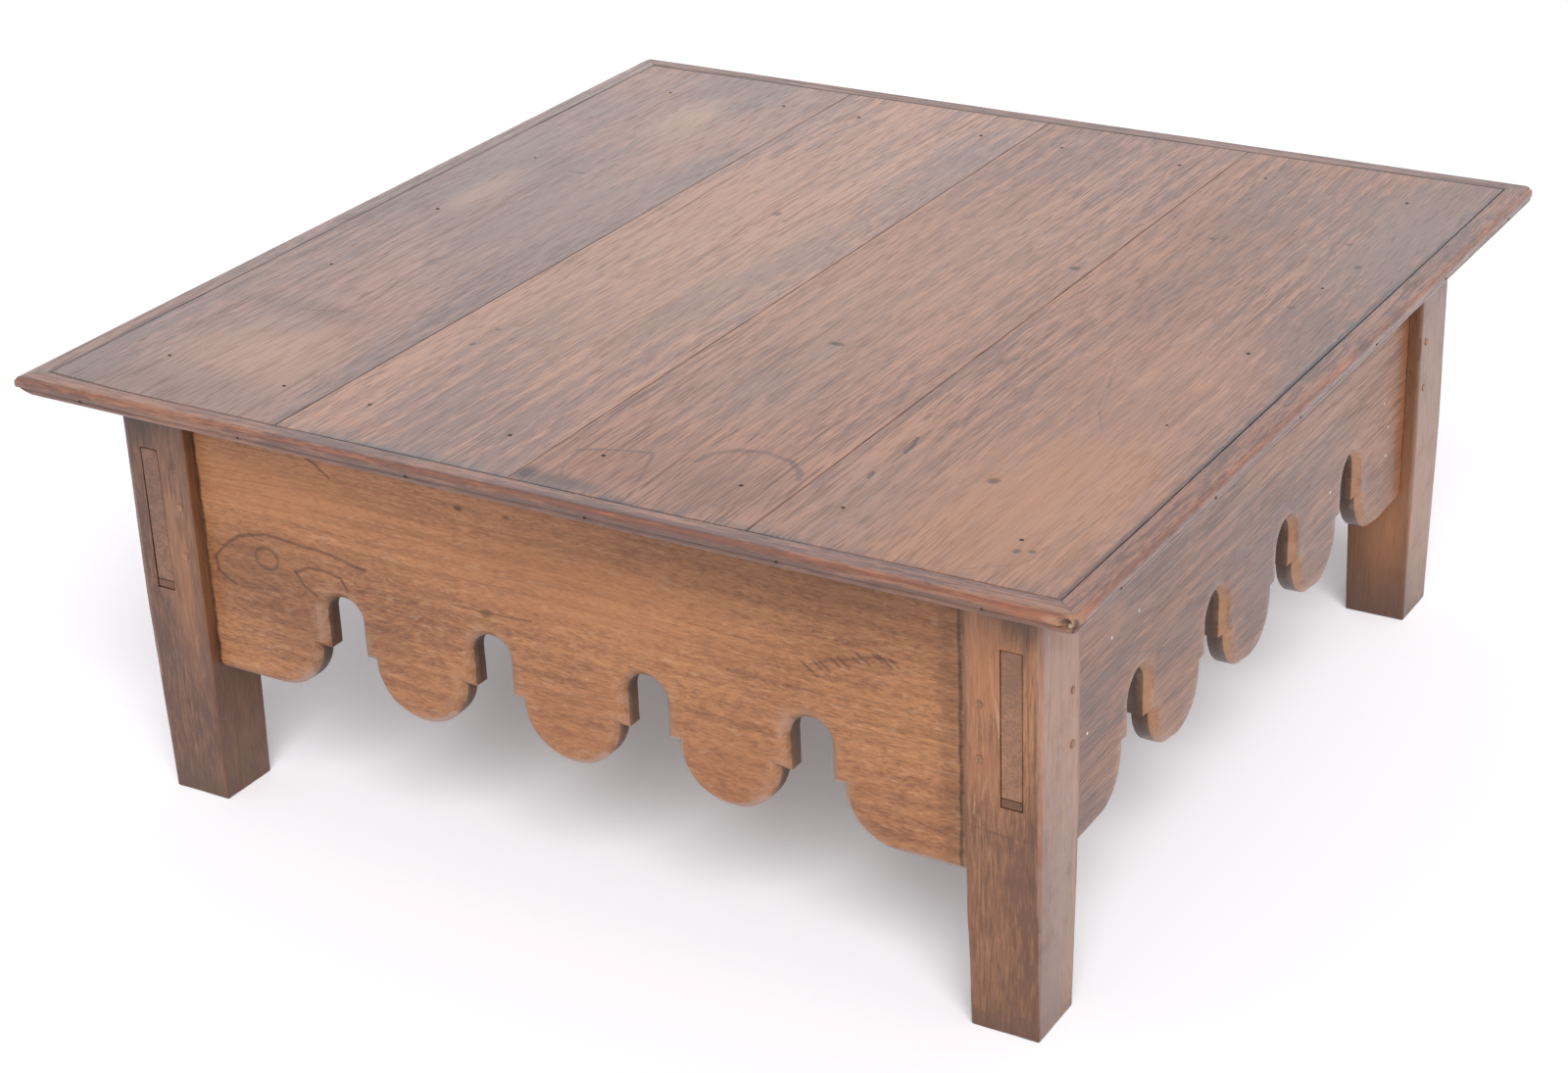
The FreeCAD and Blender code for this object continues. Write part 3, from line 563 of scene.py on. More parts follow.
def fillFlat(loop, step):
    # triangles inside an outline, with a staggered grid of points well inside it
    edges = [(i, (i + 1) % len(loop)) for i in range(len(loop))]
    places = [Vector(p) for p in loop]
    xs, zs = [p[0] for p in loop], [p[1] for p in loop]
    clear, ends = step * fillShares["clear"], step * fillShares["ends"]
    row = 0
    z = min(zs) + step
    while z < max(zs) - ends:
        x = min(xs) + step * (fillShares["first"] + 0.5 * (row % 2))
        crossings = []
        nearest = []
        for a, b in edges:
            (x1, z1), (x2, z2) = loop[a], loop[b]
            if (z1 > z) != (z2 > z):
                crossings.append(x1 + (z - z1) / (z2 - z1) * (x2 - x1))
            if abs(z1 - z) < ends:
                nearest.append(x1)
        while x < max(xs) - ends:
            inside = sum(1 for c in crossings if c < x) % 2 == 1
            if inside and all(abs(other - x) > clear for other in crossings + nearest):
                places.append(Vector((x, z)))
            x += step
        z += step * fillShares["row"]
        row += 1
    found = geometry.delaunay_2d_cdt(places, edges, [], 1, 1e-7)
    return found[0], found[2], found[3]


def makeApronMesh(span, bottom, top, thick, seed):
    # built along x with its front face at y 0, facing -y
    s = scallop
    c = s["chamfer"]
    # inset, depth and wear of the outlines from the face to the back
    layers = ((c + 0.9 * mm, 0.0, 0.5), (c + 0.15 * mm, 0.25 * mm, 1.0), (c * 0.5, c * 0.55, 0.75),
              (0.2 * mm, c - 0.1 * mm, 1.0), (0.0, c + 0.9 * mm, 0.4), (0.0, thick * 0.62, 0.0),
              (0.0, thick - 1.2 * mm, 0.2), (0.9 * mm, thick, 0.6))
    straight = apronLoop(span, bottom, top, 0.0)
    fullest = apronLoop(span, bottom, top, 1.0)
    verts, faces = [], []
    marks = {"wear": [], "wall": [], "rim": []}

    def addPoint(x, y, z, *values):
        verts.append(Vector((x, y, z)))
        for held, value in zip(marks.values(), values):
            held.append(value)

    for inset, depth, worn in layers:
        for flat, full in zip(straight, fullest):
            away = Vector((full[0] - flat[0], full[1] - flat[1]))
            cut = away.length > 0.5
            wobble = s["roughness"] * ripple((flat[0], depth, flat[1]), s["roughScale"], seed + 1)
            if inset > c / 3:
                wobble += s["unevenness"] * ripple((flat[0], 0, flat[1]), s["unevenScale"], seed)
            place = Vector(flat) + away * (inset + wobble if cut else 0.0)
            wall = smooth(depth, c * 0.4, c * 1.1) * cut
            # painted reflection: chamfers turned to the left and under the lobes are marked pale, for the
            # white floor mirrored in them
            underLobe = away.y > 0.6 and flat[1] < bottom + 0.6 * s["lobeDrop"]
            floorGlintRim = cut and 0.1 * mm < inset < 0.6 * c and (away.x > 0.3 or underLobe)
            addPoint(place.x, depth, place.y, worn if cut else 0.15, wall, float(floorGlintRim))
    count = len(straight)
    last = len(layers) - 1
    for start in range(0, last * count, count):
        for i in range(count):
            a, b = start + i, start + (i + 1) % count
            faces.append([a, a + count, b + count, b])
    for layer, way in ((0, 1), (last, -1)):
        start = layer * count
        places, triangles, sources = fillFlat([(v.x, v.z) for v in verts[start:start + count]], s["fill"])
        lookup = []
        for place, source in zip(places, sources):
            rim = [start + i for i in source if i < count]
            lookup.append(rim[0] if rim else len(verts))
            if not rim:
                hollow = s["hollow"] * ripple((place.x, 0, place.y), s["hollowScale"], seed + 3)
                addPoint(place.x, layers[layer][1] + hollow, place.y, 0.0, 0.0, 0.0)
        faces += [[lookup[i] for i in triangle][::way] for triangle in triangles]
    return verts, faces, marks


apronEdges = (("wall", "umber", 0.0, 0.3, 0.95), ("wall", "dark", 0.3, 0.55, 0.55),
              ("wall", "ochre", 0.6, 0.74, 0.4), ("wear", "ochre", 0.30, 0.6, 0.5),
              # the dusty wear row is partly real wear and partly a painted reflection of the floor on the
              # chamfers
              # the shade row paints shade under the top's overhang
              ("wear", "dusty", 0.40, 0.65, 0.45), ("shade", "umber", 0.05, 0.45, 0.45))
tenonEdges = {"front": (), "back": (), "right": (("tenon", "ochre", 0.0, 0.4, 0.3),),
              "left": (("tenon", "brown", 0.0, 0.4, 0.5),)}
# x, z and size of each short tick of the drawn feather, then the places of the chalk spots
featherTicks = ((233, 282, 4), (237, 279, 5), (243, 285, 3), (249, 286, 4.5), (259, 291, 3), (266, 293, 4),
                (277, 298, 2.5), (284, 300, 4), (296, 304, 3), (302, 303, 5), (311, 303, 3.5))
chalkSpots = ((-287, 289), (-236, 290), (310, 256), (325, 226), (321, 198), (-331, 226), (89, 221),
              (180, 219))
apronLooks = {
    "front": {"base": (0.358, 0.157, 0.067), "face": ("y", -423.5), "flecks": 0.4, "marks": (
        ("stroke", "umber", 0.75, 2.0,
         (-363, 234, -365, 246, -354, 259, -335, 272, -306, 279, -270, 278, -235, 275, -200, 268),
         (-277, 250, -262, 257, -243, 258, -227, 254, -221, 244), (-277, 250, -268, 238, -255, 231),
         (-363, 234, -352, 226, -345, 224)),
        ("ring", "umber", 0.75, 0.26, (-307, 256, 12, 10)),
        ("spot", "brown", 0.4, 0.9, (-318, 245, 60, 40)),
        ("spot", "umber", 0.7, 0.5, (-75, 257, 6, 4)),
        ("stroke", "umber", 0.7, 1.3, (-112, 257, -75, 257, -30, 260)),
        ("stroke", "umber", 0.7, 1.3,
         *((x - 1.4 * r, z + 0.9 * r, x + 1.2 * r, z - 0.9 * r) for x, z, r in featherTicks)),
        ("stroke", "umber", 0.5, 1.8, (236, 284, 254, 292, 273, 298, 292, 304, 312, 305)),
        ("stroke", "dark", 0.85, 1.7, (-253, 365, -240, 357, -228, 349)),
        ("spot", "dark", 0.8, 0.45, (-95, 349, 4.5, 2.5)),
        ("spot", "umber", 0.6, 0.5, (-47, 351, 4, 2)),
        ("stroke", "umber", 0.55, 0.8, (125, 220, 165, 214, 202, 210)),
        ("stroke", "umber", 0.4, 1.0, (-352, 204, -325, 196)),
        ("spot", "gold", 0.55, 0.9, (-300, 325, 110, 30)),
        ("spot", "gold", 0.5, 0.9, (0, 300, 150, 34)),
        ("spot", "gold", 0.3, 0.9, (90, 170, 190, 34)),
        ("spot", "brown", 0.4, 0.9, (190, 350, 170, 26)),
        ("spot", "brown", 0.3, 0.9, (-240, 185, 60, 30)),
        # a wide soft dark band beside the front-right leg: painted shadow of the proud leg, with some grime
        ("stroke", "umber", 0.3, 9.0, (357, 385, 357, 140)),
        ("stroke", "dark", 0.75, 2.0, (367, 400, 367, 134)),
    )},
    "right": {"base": (0.225, 0.094, 0.044), "face": ("x", 429.5), "marks": (
        ("stroke", "umber", 0.55, 1.2, (-340, 262, -250, 268, -190, 276, -100, 280, 50, 279, 250, 277)),
        ("stroke", "umber", 0.45, 1.0, (-355, 240, -300, 226, -270, 218)),
        ("stroke", "umber", 0.55, 1.1, (-243, 255, -200, 236, -150, 214, -135, 208),
         (-205, 240, -160, 222, -128, 212)),
        ("stroke", "umber", 0.45, 1.0, (-190, 262, -100, 270, 30, 268),
         (-320, 325, -150, 330, 40, 322, 260, 320)),
        ("stroke", "pale", 0.25, 1.6, (-60, 300, 120, 298, 330, 300)),
        ("spot", "gold", 0.5, 0.8, (-278, 297, 15, 9)),
        ("spot", "gold", 0.4, 0.9, (-330, 330, 50, 40)),
        # a wide warm band beside the back-right leg: painted shade of the leg's side, with some grime
        ("stroke", "rust", 0.5, 8.0, (362, 395, 362, 140)),
        ("spot", "white", 0.95, 0.35, *((y, z, 1.3, 1.5) for y, z in chalkSpots)),
    )},
    "back": {"base": (0.345, 0.15, 0.061), "face": ("y", 423.5), "flecks": 0.35, "marks": (
        ("ring", "umber", 0.6, 0.25, (190, 268, 20, 11)),
        ("spot", "umber", 0.6, 0.6, (190, 268, 8, 4)),
        ("stroke", "umber", 0.5, 0.9, (-260, 300, -170, 305, -90, 298)),
        ("spot", "gold", 0.4, 0.9, (-60, 300, 110, 30)),
    )},
    "left": {"base": (0.235, 0.098, 0.045), "face": ("x", -429.5), "marks": (
        ("ring", "umber", 0.6, 0.25, (120, 262, 20, 11)),
        ("spot", "umber", 0.6, 0.6, (120, 262, 8, 4)),
        ("stroke", "umber", 0.5, 1.0, (-300, 290, -120, 297, 90, 290, 280, 292)),
        ("spot", "gold", 0.4, 0.9, (-160, 310, 90, 30)),
    )},
}
frontSheen = {"grain": "x", "spread": 0.29, "rough": 0.48, "gloss": 0.4, "wax": 0.08, "mottle": 0.3,
              "streak": 0.1, "fine": 0.9, "lineScale": 110.0, "pores": 0.3}
sideSheen = {"grain": "y", "spread": 0.22, "rough": 0.44, "gloss": 0.62, "wax": 0.45, "pores": 0.5,
             "fine": 1.1, "streak": 0.5, "broad": 0.8, "lines": 0.5, "blotch": 1.0, "lineScale": 24.0}
tenonShape = {"step": 7 * mm, "rim": 2 * mm, "arris": 0.7 * mm, "setback": 0.5 * mm, "wedge": 8 * mm}


def makeApron(side, seed):
    low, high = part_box("apron_" + side)
    near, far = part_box("leg_front_left")[1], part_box("leg_back_right")[0]
    alongX = side in ("front", "back")
    span = far.x - near.x if alongX else far.y - near.y
    thick = high.y - low.y if alongX else high.x - low.x
    verts, faces, marks = makeApronMesh(span, low.z, high.z, thick, seed)
    # painted shade: the apron is darkened towards its top, under the top's overhang
    marks["shade"] = [smooth(v.z, high.z - scallop["shadeDepth"], high.z) for v in verts]
    marks["tenon"] = [0.0] * len(verts)
    if not alongX:
        # the through tenons, whose ends show on the legs' faces
        for end in (-1, 1):
            reach = sorted((end * (high.y - tenonShape["setback"]), end * span / 2))
            first = (reach[0], thick - legShape["tenonThick"], legShape["mortiseFoot"] + tenonShape["wedge"])
            last = (reach[1], thick, legShape["mortiseTop"])
            tenon, tenonFaces, worn = wornBox(first, last, tenonShape["step"], tenonShape["rim"],
                                              tenonShape["arris"], seed + end * 3)
            faces += [[len(verts) + i for i in face] for face in tenonFaces]
            verts += tenon
            marks["wear"] += [0.5 * w for w in worn]
            for name in ("wall", "rim", "shade", "tenon"):
                marks[name] += [float(name == "tenon")] * len(tenon)
    verts = setOnSide(verts, side, low, high)
    # the rim row paints the floor's reflection on those chamfers
    edges = apronEdges + tenonEdges[side] + (("rim", "dusty" if alongX else "ochre", 0.0, 0.4, 0.65),)
    boardEnd = span / 2 / mm
    joints = ("stroke", "dark", 0.85, 2.6, *((x, high.z / mm, x, low.z / mm) for x in (-boardEnd, boardEnd)))
    board = {**(frontSheen if alongX else sideSheen), **apronLooks[side]}
    board["marks"] += (joints,)
    wood = makeWood("apronWood_" + side, shift=(seed * 0.41, seed * 0.17, seed * 0.29),
                    heart=(0, 0.12 + seed * 0.01, -0.30), heartTilt=(0, 0.04, 0.03), ringScale=22.0,
                    figure=0.1, edges=edges, **board)
    addPiece("apron_worn_" + side, verts, faces, marks, wood, "frame_wood", "apron_" + side, 30)


for seed, side in enumerate(sideTurns, start=11):
    makeApron(side, seed)
print("aprons made")


# Wedges under the through tenons

wedgeShape = {"step": 6 * mm, "rim": 1.2 * mm, "arris": 0.6 * mm, "length": 40 * mm, "gap": 0.5 * mm,
              "seed": 31}


def makeWedges():
    low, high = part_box("tenon_wedges")
    shape = wedgeShape
    verts, faces, wear = [], [], []
    for sideX, sideY in ((-1, -1), (-1, 1), (1, -1), (1, 1)):
        x = sorted((sideX * (high.x - legShape["tenonThick"]), sideX * high.x))
        y = sorted((sideY * (high.y - shape["length"]), sideY * (high.y - tenonShape["setback"])))
        made = wornBox((x[0], y[0], low.z), (x[1], y[1], high.z - shape["gap"]), shape["step"], shape["rim"],
                       shape["arris"], shape["seed"])
        faces += [[len(verts) + i for i in face] for face in made[1]]
        verts += made[0]
        wear += made[2]
    wood = makeWood("wedgeWood", grain="y", shift=(0.4, 0.9, 0.2), base=(0.14, 0.056, 0.026),
                    edges=(("wear", "dark", 0.3, 0.6, 0.6),))
    addPiece("tenon_wedges_worn", verts, faces, {"wear": wear}, wood, "peg_wood", "tenon_wedges")


makeWedges()


# Top planks: butted boards with softened seams, dents and old stains

plankShape = {"step": 4.5 * mm, "rim": 3 * mm, "arris": 0.65 * mm, "waviness": 0.35 * mm, "tight": 0.02 * mm,
              "arrisDepth": 1.2 * mm, "sideReach": 1.5 * mm, "skin": 2 * mm, "frontGrime": 7 * mm,
              "sideGrime": 8 * mm}
# middle and half size of each dent, then its depth
dents = ((255, -290, 5, 13, 1.1), (255, -350, 4, 8, 0.9), (100, -130, 8, 6, 0.8), (343, -318, 5, 5, 0.9),
         (-350, 145, 14, 3, 0.4), (205, 115, 3, 3, 0.6))
plankLooks = {
    "left": {"base": (0.208, 0.087, 0.05), "wax": 1.0, "gloss": 1.0, "blotch": 2.1, "marks": (
        ("spot", "pale", 0.5, 0.9, (-345, 330, 24, 62)),
        ("spot", "tan", 0.7, 0.9, (-408, 60, 18, 60), (-340, -355, 60, 46)),
        ("spot", "tan", 0.25, 0.9, (-300, 60, 70, 180)),
        ("stroke", "dark", 0.5, 1.6, (-372, 142, -345, 146)),
        ("stroke", "dark", 0.5, 1.4, (-366, -266, -328, -254)),
        ("spot", "brown", 0.75, 0.9, (-400, -262, 90, 16)),
        ("spot", "grey", 0.5, 0.8, (-355, -300, 26, 14)),
        ("spot", "brown", 0.7, 0.9, (-380, -455, 110, 34)),
        ("spot", "grey", 0.4, 0.9, (-450, 200, 34, 120)),
    )},
    "middle_left": {"base": (0.308, 0.134, 0.069), "wax": 0.95, "gloss": 0.9, "blotch": 1.1, "marks": (
        ("spot", "tan", 0.45, 0.9, (-120, 40, 90, 260)),
        ("stroke", "brown", 0.5, 3.0, (-58, 200, -40, 150, -26, 146, -10, 120)),
        ("stroke", "brown", 0.4, 2.0, (-60, 250, -45, 262, -20, 258), (-62, 235, -48, 245, -16, 240),
         (-60, 215, -40, 226, -14, 220)),
        ("spot", "brown", 0.5, 0.9, (-72, -160, 13, 80)),
        ("stroke", "pale", 0.5, 2.0, (-12, -45, -14, -100, -18, -180)),
        ("stroke", "brown", 0.5, 1.6, (-30, -60, -14, -42, -4, -55)),
        ("stroke", "umber", 0.4, 1.0, (-78, -250, -76, -330, -74, -420)),
        ("stroke", "pale", 0.3, 2.2, (-168, 60, -170, -60)),
        ("spot", "dark", 0.75, 0.5, (-114, 126, 4.5, 5)),
        ("spot", "dark", 0.5, 0.5, (-98, 112, 3, 3)),
        ("spot", "dark", 0.7, 0.5, (-185, -230, 2.6, 3), (-185, -268, 2.6, 3.4)),
        ("spot", "rust", 0.3, 0.8, (-160, -448, 50, 8)),
        ("spot", "grey", 0.3, 0.9, (-200, -100, 24, 200)),
    )},
    "middle_right": {"base": (0.275, 0.115, 0.058), "marks": (
        ("spot", "tan", 0.45, 0.9, (80, 20, 110, 200)),
        ("spot", "brown", 0.3, 0.9, (100, -420, 130, 50)),
        ("spot", "dark", 0.9, 0.45, (98, -131, 7, 4)),
        ("spot", "grey", 0.5, 0.8, (103, -150, 10, 24)),
        ("stroke", "umber", 0.45, 1.0, (106, -160, 104, -230, 112, -330, 118, -400)),
        ("stroke", "umber", 0.4, 1.0, (60, -20, 62, -60, 52, -110), (112, 10, 116, -60, 112, -120)),
        ("stroke", "umber", 0.35, 1.0, (150, -60, 148, -200, 152, -330)),
        ("spot", "dark", 0.7, 0.5, (202, 116, 5, 5)),
        ("stroke", "umber", 0.75, 3.4,
         (117, -390, 122, -370, 136, -357, 160, -351, 186, -357, 202, -372, 207, -384)),
        ("stroke", "umber", 0.8, 2.2, (22, -412, 40, -402, 78, -391, 84, -404, 96, -440)),
        ("stroke", "umber", 0.55, 2.2, (22, -412, 28, -440, 36, -458)),
        ("spot", "rust", 0.22, 0.5, (58, -425, 32, 26)),
        ("spot", "ink", 0.8, 0.7, (10, -466, 9, 12)),
        ("spot", "ink", 0.65, 0.8, (44, -468, 30, 9)),
        ("spot", "brown", 0.4, 0.9, (160, -425, 44, 36)),
        ("spot", "grey", 0.35, 0.9, (90, -255, 50, 50)),
    )},
    "right": {"base": (0.275, 0.113, 0.053), "marks": (
        ("spot", "gold", 0.9, 0.9, (395, -330, 80, 150)),
        ("spot", "gold", 0.6, 0.9, (380, -60, 70, 80)),
        ("spot", "grey", 0.5, 0.9, (270, -400, 44, 90)),
        ("spot", "grey", 0.45, 0.9, (440, 330, 50, 130)),
        ("stroke", "ink", 0.95, 2.6, (252, -274, 255, -290, 257, -303)),
        ("stroke", "ink", 0.9, 2.0, (253, -346, 254, -358)),
        ("spot", "dark", 0.8, 0.5, (343, -319, 5, 5.5)),
        ("stroke", "umber", 0.5, 1.1, (332, -75, 345, -120, 352, -150, 378, -200)),
        ("stroke", "umber", 0.45, 1.0, (340, -100, 354, -140, 362, -170),
         (445, -340, 440, -400, 425, -440, 390, -466)),
        ("stroke", "umber", 0.4, 1.0, (322, -60, 336, -110, 342, -160)),
        ("stroke", "umber", 0.5, 1.0, (292, -150, 300, -280, 296, -420), (300, 330, 306, 312)),
        ("spot", "brown", 0.5, 0.9, (280, 280, 30, 70)),
        ("spot", "brown", 0.35, 0.9, (300, 100, 50, 120)),
        ("spot", "dark", 0.7, 0.5, (428, 225, 3.4, 4), (412, 110, 3.4, 4), (401, 275, 3, 3),
         (414, -422, 3.4, 3.4), (424, -417, 3, 3)),
        ("spot", "dark", 0.6, 0.5, (283, 238, 3, 3)),
        ("stroke", "ink", 0.75, 2.2, (475, -474, 475, -300, 476, -120, 476, 60)),
        ("stroke", "ink", 0.6, 1.6, (474, 60, 475, 200, 475, 330)),
    )},
}
plankSheen = {"grain": "y", "heartTilt": (0, 0.05, 0.02), "ringScale": 15.0, "figure": 0.12, "lines": 0.6,
              "blotchScale": 4.0, "pores": 0.6, "lineScale": 26.0, "hairScale": (5, 170, 170), "spread": 0.17,
              "mottle": 0.2, "broad": 0.75, "streak": 0.2, "fine": 1.3, "rough": 0.42, "gloss": 0.8,
              "wax": 0.75, "edges": (("seam", "dark", 0.20, 0.55, 0.9), ("grime", "ink", 0.40, 0.58, 0.8))}
bow = {"depth": 4.4 * mm, "rise": (-0.478, -0.38), "fall": (0.05, 0.476), "reach": (0.40, 0.47)}


def frontBow(x):
    # the planks' front ends, and the edging's inner edge with them, run a little forward of straight
    return bow["depth"] * smooth(x, *bow["rise"]) * (1 - smooth(x, *bow["fall"]))


def makePlank(name, seed):
    low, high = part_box("top_plank_" + name)
    shape = plankShape
    verts, faces, wear = wornBox(low, high, shape["step"], shape["rim"], shape["arris"], seed,
                                 waviness=shape["waviness"])
    marks = {"seam": [], "grime": []}
    for spot, worn in zip(verts, wear):
        if spot.z > high.z - shape["skin"]:
            for x, y, width, length, depth in dents:
                away = ((spot.x / mm - x) / width) ** 2 + ((spot.y / mm - y) / length) ** 2
                if away < 4:
                    spot.z -= depth * mm * math.exp(-1.5 * away)
        atEnd = min(spot.y - low.y, high.y - spot.y) < shape["skin"]
        marks["seam"].append(worn * (1.0 if atEnd else 0.55))
        toFront = math.exp(-(spot.y - low.y) / shape["frontGrime"]) if name != "left" else 0.0
        toRight = math.exp(-(high.x - spot.x) / shape["sideGrime"]) if name == "right" else 0.0
        marks["grime"].append(min(1.0, 1.3 * max(toFront, toRight)))
        if spot.z < high.z - shape["arrisDepth"]:
            # below their softened arrises the boards stay tight against each other
            for a in (0, 1):
                if spot[a] < low[a] + shape["sideReach"]:
                    spot[a] = low[a] + shape["tight"]
                if spot[a] > high[a] - shape["sideReach"]:
                    spot[a] = high[a] - shape["tight"]
        spot.y -= frontBow(spot.x) * smooth(-spot.y, *bow["reach"])
    wood = makeWood("plankWood_" + name, shift=(seed * 0.53, seed * 0.31, 0), face=("z", high.z / mm),
                    heart=(0, 0.02 - 0.013 * seed, 0.10), **{**plankSheen, **plankLooks[name]})
    addPiece("top_plank_worn_" + name, verts, faces, marks, wood, "top_wood", "top_plank_" + name)


for seed, name in enumerate(plankLooks, start=21):
    makePlank(name, seed)
print("top planks made")


# Edging: a worn rounded nose over a quirk and a bead, mitred at the corners

edgingShape = {"width": 23 * mm, "corner": 9 * mm, "sharpCorner": 3 * mm, "nose": 6 * mm,
               "noseHeight": 8.8 * mm, "quirk": 2.5 * mm, "quirkWidth": 1.2 * mm, "bead": 1.2 * mm,
               "relief": 3.6 * mm, "reliefDepth": 13 * mm, "step": 5 * mm, "chip": 1.6 * mm, "rub": 0.35 * mm,
               "fineRub": 0.25 * mm, "endRub": 0.5 * mm, "endFade": 14 * mm, "drop": 0.12 * mm,
               "dropDepth": 7 * mm, "mitre": 0.7 * mm}
# each broken place, in mm: inset from the end, drop from the top, half width, half height, depth
brokenCorner = (4, 5, 9, 4.5, 2.2)
cornerHole = (10, 6, 5, 3, 5)
splitTip = {"height": 9.5, "unevenness": 2, "reach": (2 * mm, 26 * mm)}
wearScales = {"rub": 35, "fineRub": 140, "bite": 24, "fineBite": 160, "drop": 20, "chip": 260, "split": 150}
biteRange = (0.62, 0.9)
edgingMarks = ("nose", "quirk", "bead", "seam", "mitre", "chip")
# the quirk row paints shade into the groove, near black
edgingEdges = (("quirk", "dark", 0.0, 0.3, 0.95), ("seam", "dark", 0.1, 0.4, 0.95),
               ("mitre", "dark", 0.2, 0.5, 0.8), ("chip", "tan", 0.2, 0.5, 0.6))
# worn red nose; its last row paints a pale highlight along the arris
rubbedNoseAndGlint = (("nose", "ember", 0.0, 0.20, 1.0), ("nose", "rust", 0.50, 0.60, 0.7),
           ("nose", "flame", 0.60, 0.68, 0.5), ("nose", "pale", 0.68, 0.74, 0.6))
# painted shade: the far edges' nose and bead are darkened
shadedFarNose = (("nose", "umber", 0.2, 0.5, 0.6), ("bead", "brown", 0.1, 0.5, 0.4))
frontBead = (("bead", "brown", 0.0, 0.4, 0.45), ("bead", "umber", 0.52, 0.62, 0.5))
rightBead = (("bead", "brown", 0.1, 0.5, 0.7),)
edgingSheen = {"base": (0.215, 0.083, 0.042), "rough": 0.42, "gloss": 0.8, "wax": 0.65, "waxRough": 0.18,
               "polish": "nose", "patch": (16, 150, 150), "spread": 0.15, "broad": 0.8, "fine": 1.6,
               "streak": 1.3, "lines": 0.8}
edgingLooks = {
    "front": {"face": ("y", -500), "edges": rubbedNoseAndGlint + frontBead, "marks": (
        ("spot", "rust", 0.6, 0.8, (462, 413, 30, 4)),
        ("spot", "pale", 0.5, 0.6, (482, 414, 9, 3)),
        ("spot", "dark", 0.95, 0.4, (489, 413.5, 4, 2)),
        ("spot", "white", 0.6, 0.4, (493, 412, 1.6, 1.4)),
        ("spot", "dark", 0.95, 0.4, (497, 409, 2.4, 3.4)),
        ("spot", "dark", 0.9, 0.4, (-468, 406, 4, 2)),
        ("spot", "dark", 0.8, 0.4, (-448, 405, 3, 1.5)),
    )},
    "right": {"face": ("x", 500), "edges": rubbedNoseAndGlint + rightBead, "marks": (
        ("spot", "rust", 0.6, 0.7, (-476, 414, 16, 4)),
        ("spot", "dark", 0.9, 0.5, (-495, 413, 3, 4)),
        ("spot", "ink", 0.6, 0.7, (60, 417, 12, 3), (135, 417, 16, 3)),
    )},
    # the back and left edging bases are darker as painted shade
    "back": {"face": ("y", 500), "base": (0.165, 0.070, 0.040), "edges": shadedFarNose},
    "left": {"face": ("x", -500), "base": (0.170, 0.074, 0.043), "edges": shadedFarNose, "wax": 0.9, "gloss": 1},
}


def edgingSection(bottom, top):
    # (inward, z, nose, quirk, bead, seam) round the section, starting at the inner top corner
    e = edgingShape
    width = e["width"]
    rows = [(width, top - 1.4 * mm, 0, 0, 0, 1.0), (width - 0.5 * mm, top - 0.3 * mm, 0, 0, 0, 0.8)]
    rows += [(width - t * mm, top, 0, 0, 0, math.exp(-t / 1.6)) for t in (1, 2, 4, 7, 10, 13.5)]
    for i in range(11):
        angle = math.radians(90 * i / 10)
        glow = smooth(i, 2.8, 4.0) * (1 - smooth(i, 6.2, 7.4))
        inward, z = e["nose"] * (1 - math.sin(angle)), top - e["nose"] * (1 - math.cos(angle))
        rows.append((inward, z, glow, 0, 0.8 * smooth(i, 6.5, 9), 0))
    faceFoot = top - e["noseHeight"]
    rows += [(0, faceFoot + 2.4 * mm, 0, 0, 0.8, 0), (0, faceFoot + 0.5 * mm, 0, 0.2, 0.8, 0)]
    rows += [(0.5 * mm, faceFoot, 0, 0.7, 0, 0), (e["quirk"], faceFoot, 0, 1, 0, 0)]
    beadFoot = bottom + e["relief"]
    half = (faceFoot - e["quirkWidth"] - beadFoot) / 2
    radius = (half * half / e["bead"] + e["bead"]) / 2
    swing = math.asin(half / radius)
    for i in range(9):
        angle = swing * (1 - 2 * i / 8)
        inward = e["quirk"] - e["bead"] + radius - radius * math.cos(angle)
        z = beadFoot + half + radius * math.sin(angle)
        rows.append((inward, z, 0, float(i == 0), smooth(i, 0, 2), 0))
    # the underside is planed up towards the front
    flat = width - e["reliefDepth"]
    rows += [(e["reliefDepth"] + flat * share, bottom, 0, 0, 0.2, 0) for share in (0, 0.4, 0.9, 1)]
    rows += [(width, bottom + (top - bottom) * share, 0, 0, 0, 0.3) for share in (0.3, 0.7)]
    return rows


def fromBreak(place, inset, drop):
    # how far a point is from the middle of a broken place, in its half sizes
    return math.hypot((inset - place[0] * mm) / (place[2] * mm), (drop - place[1] * mm) / (place[3] * mm))


def roundCorner(x, y, inward, turnStart, corner):
    # carries a point of the section round the tip, and gives the way into the wood there
    angle = 0.0
    if abs(x) > turnStart and inward < corner:
        angle = math.radians(45) * (abs(x) - turnStart) / (corner - inward)
        x = math.copysign(turnStart + (corner - inward) * math.sin(angle), x)
        y = corner - (corner - inward) * math.cos(angle)
    return x, y, Vector((-math.copysign(math.sin(angle), x), math.cos(angle)))


def edgingRub(x, z, inboard, seed):
    # how much is rubbed off the nose and the bead, evenly at the ends
    e = edgingShape
    rub = e["rub"] * (1 + ripple((x, z, seed), wearScales["rub"], seed))
    rub += e["fineRub"] * (1 + ripple((x, z, seed), wearScales["fineRub"], seed))
    return e["endRub"] + (rub - e["endRub"]) * inboard


def edgingBite(x, z, seed):
    # 1 in the middle of a small chip
    bite = ripple((x, seed, 0), wearScales["bite"], seed + 4)
    bite += 0.5 * ripple((x, seed, z), wearScales["fineBite"], seed)
    return smooth(bite, *biteRange)


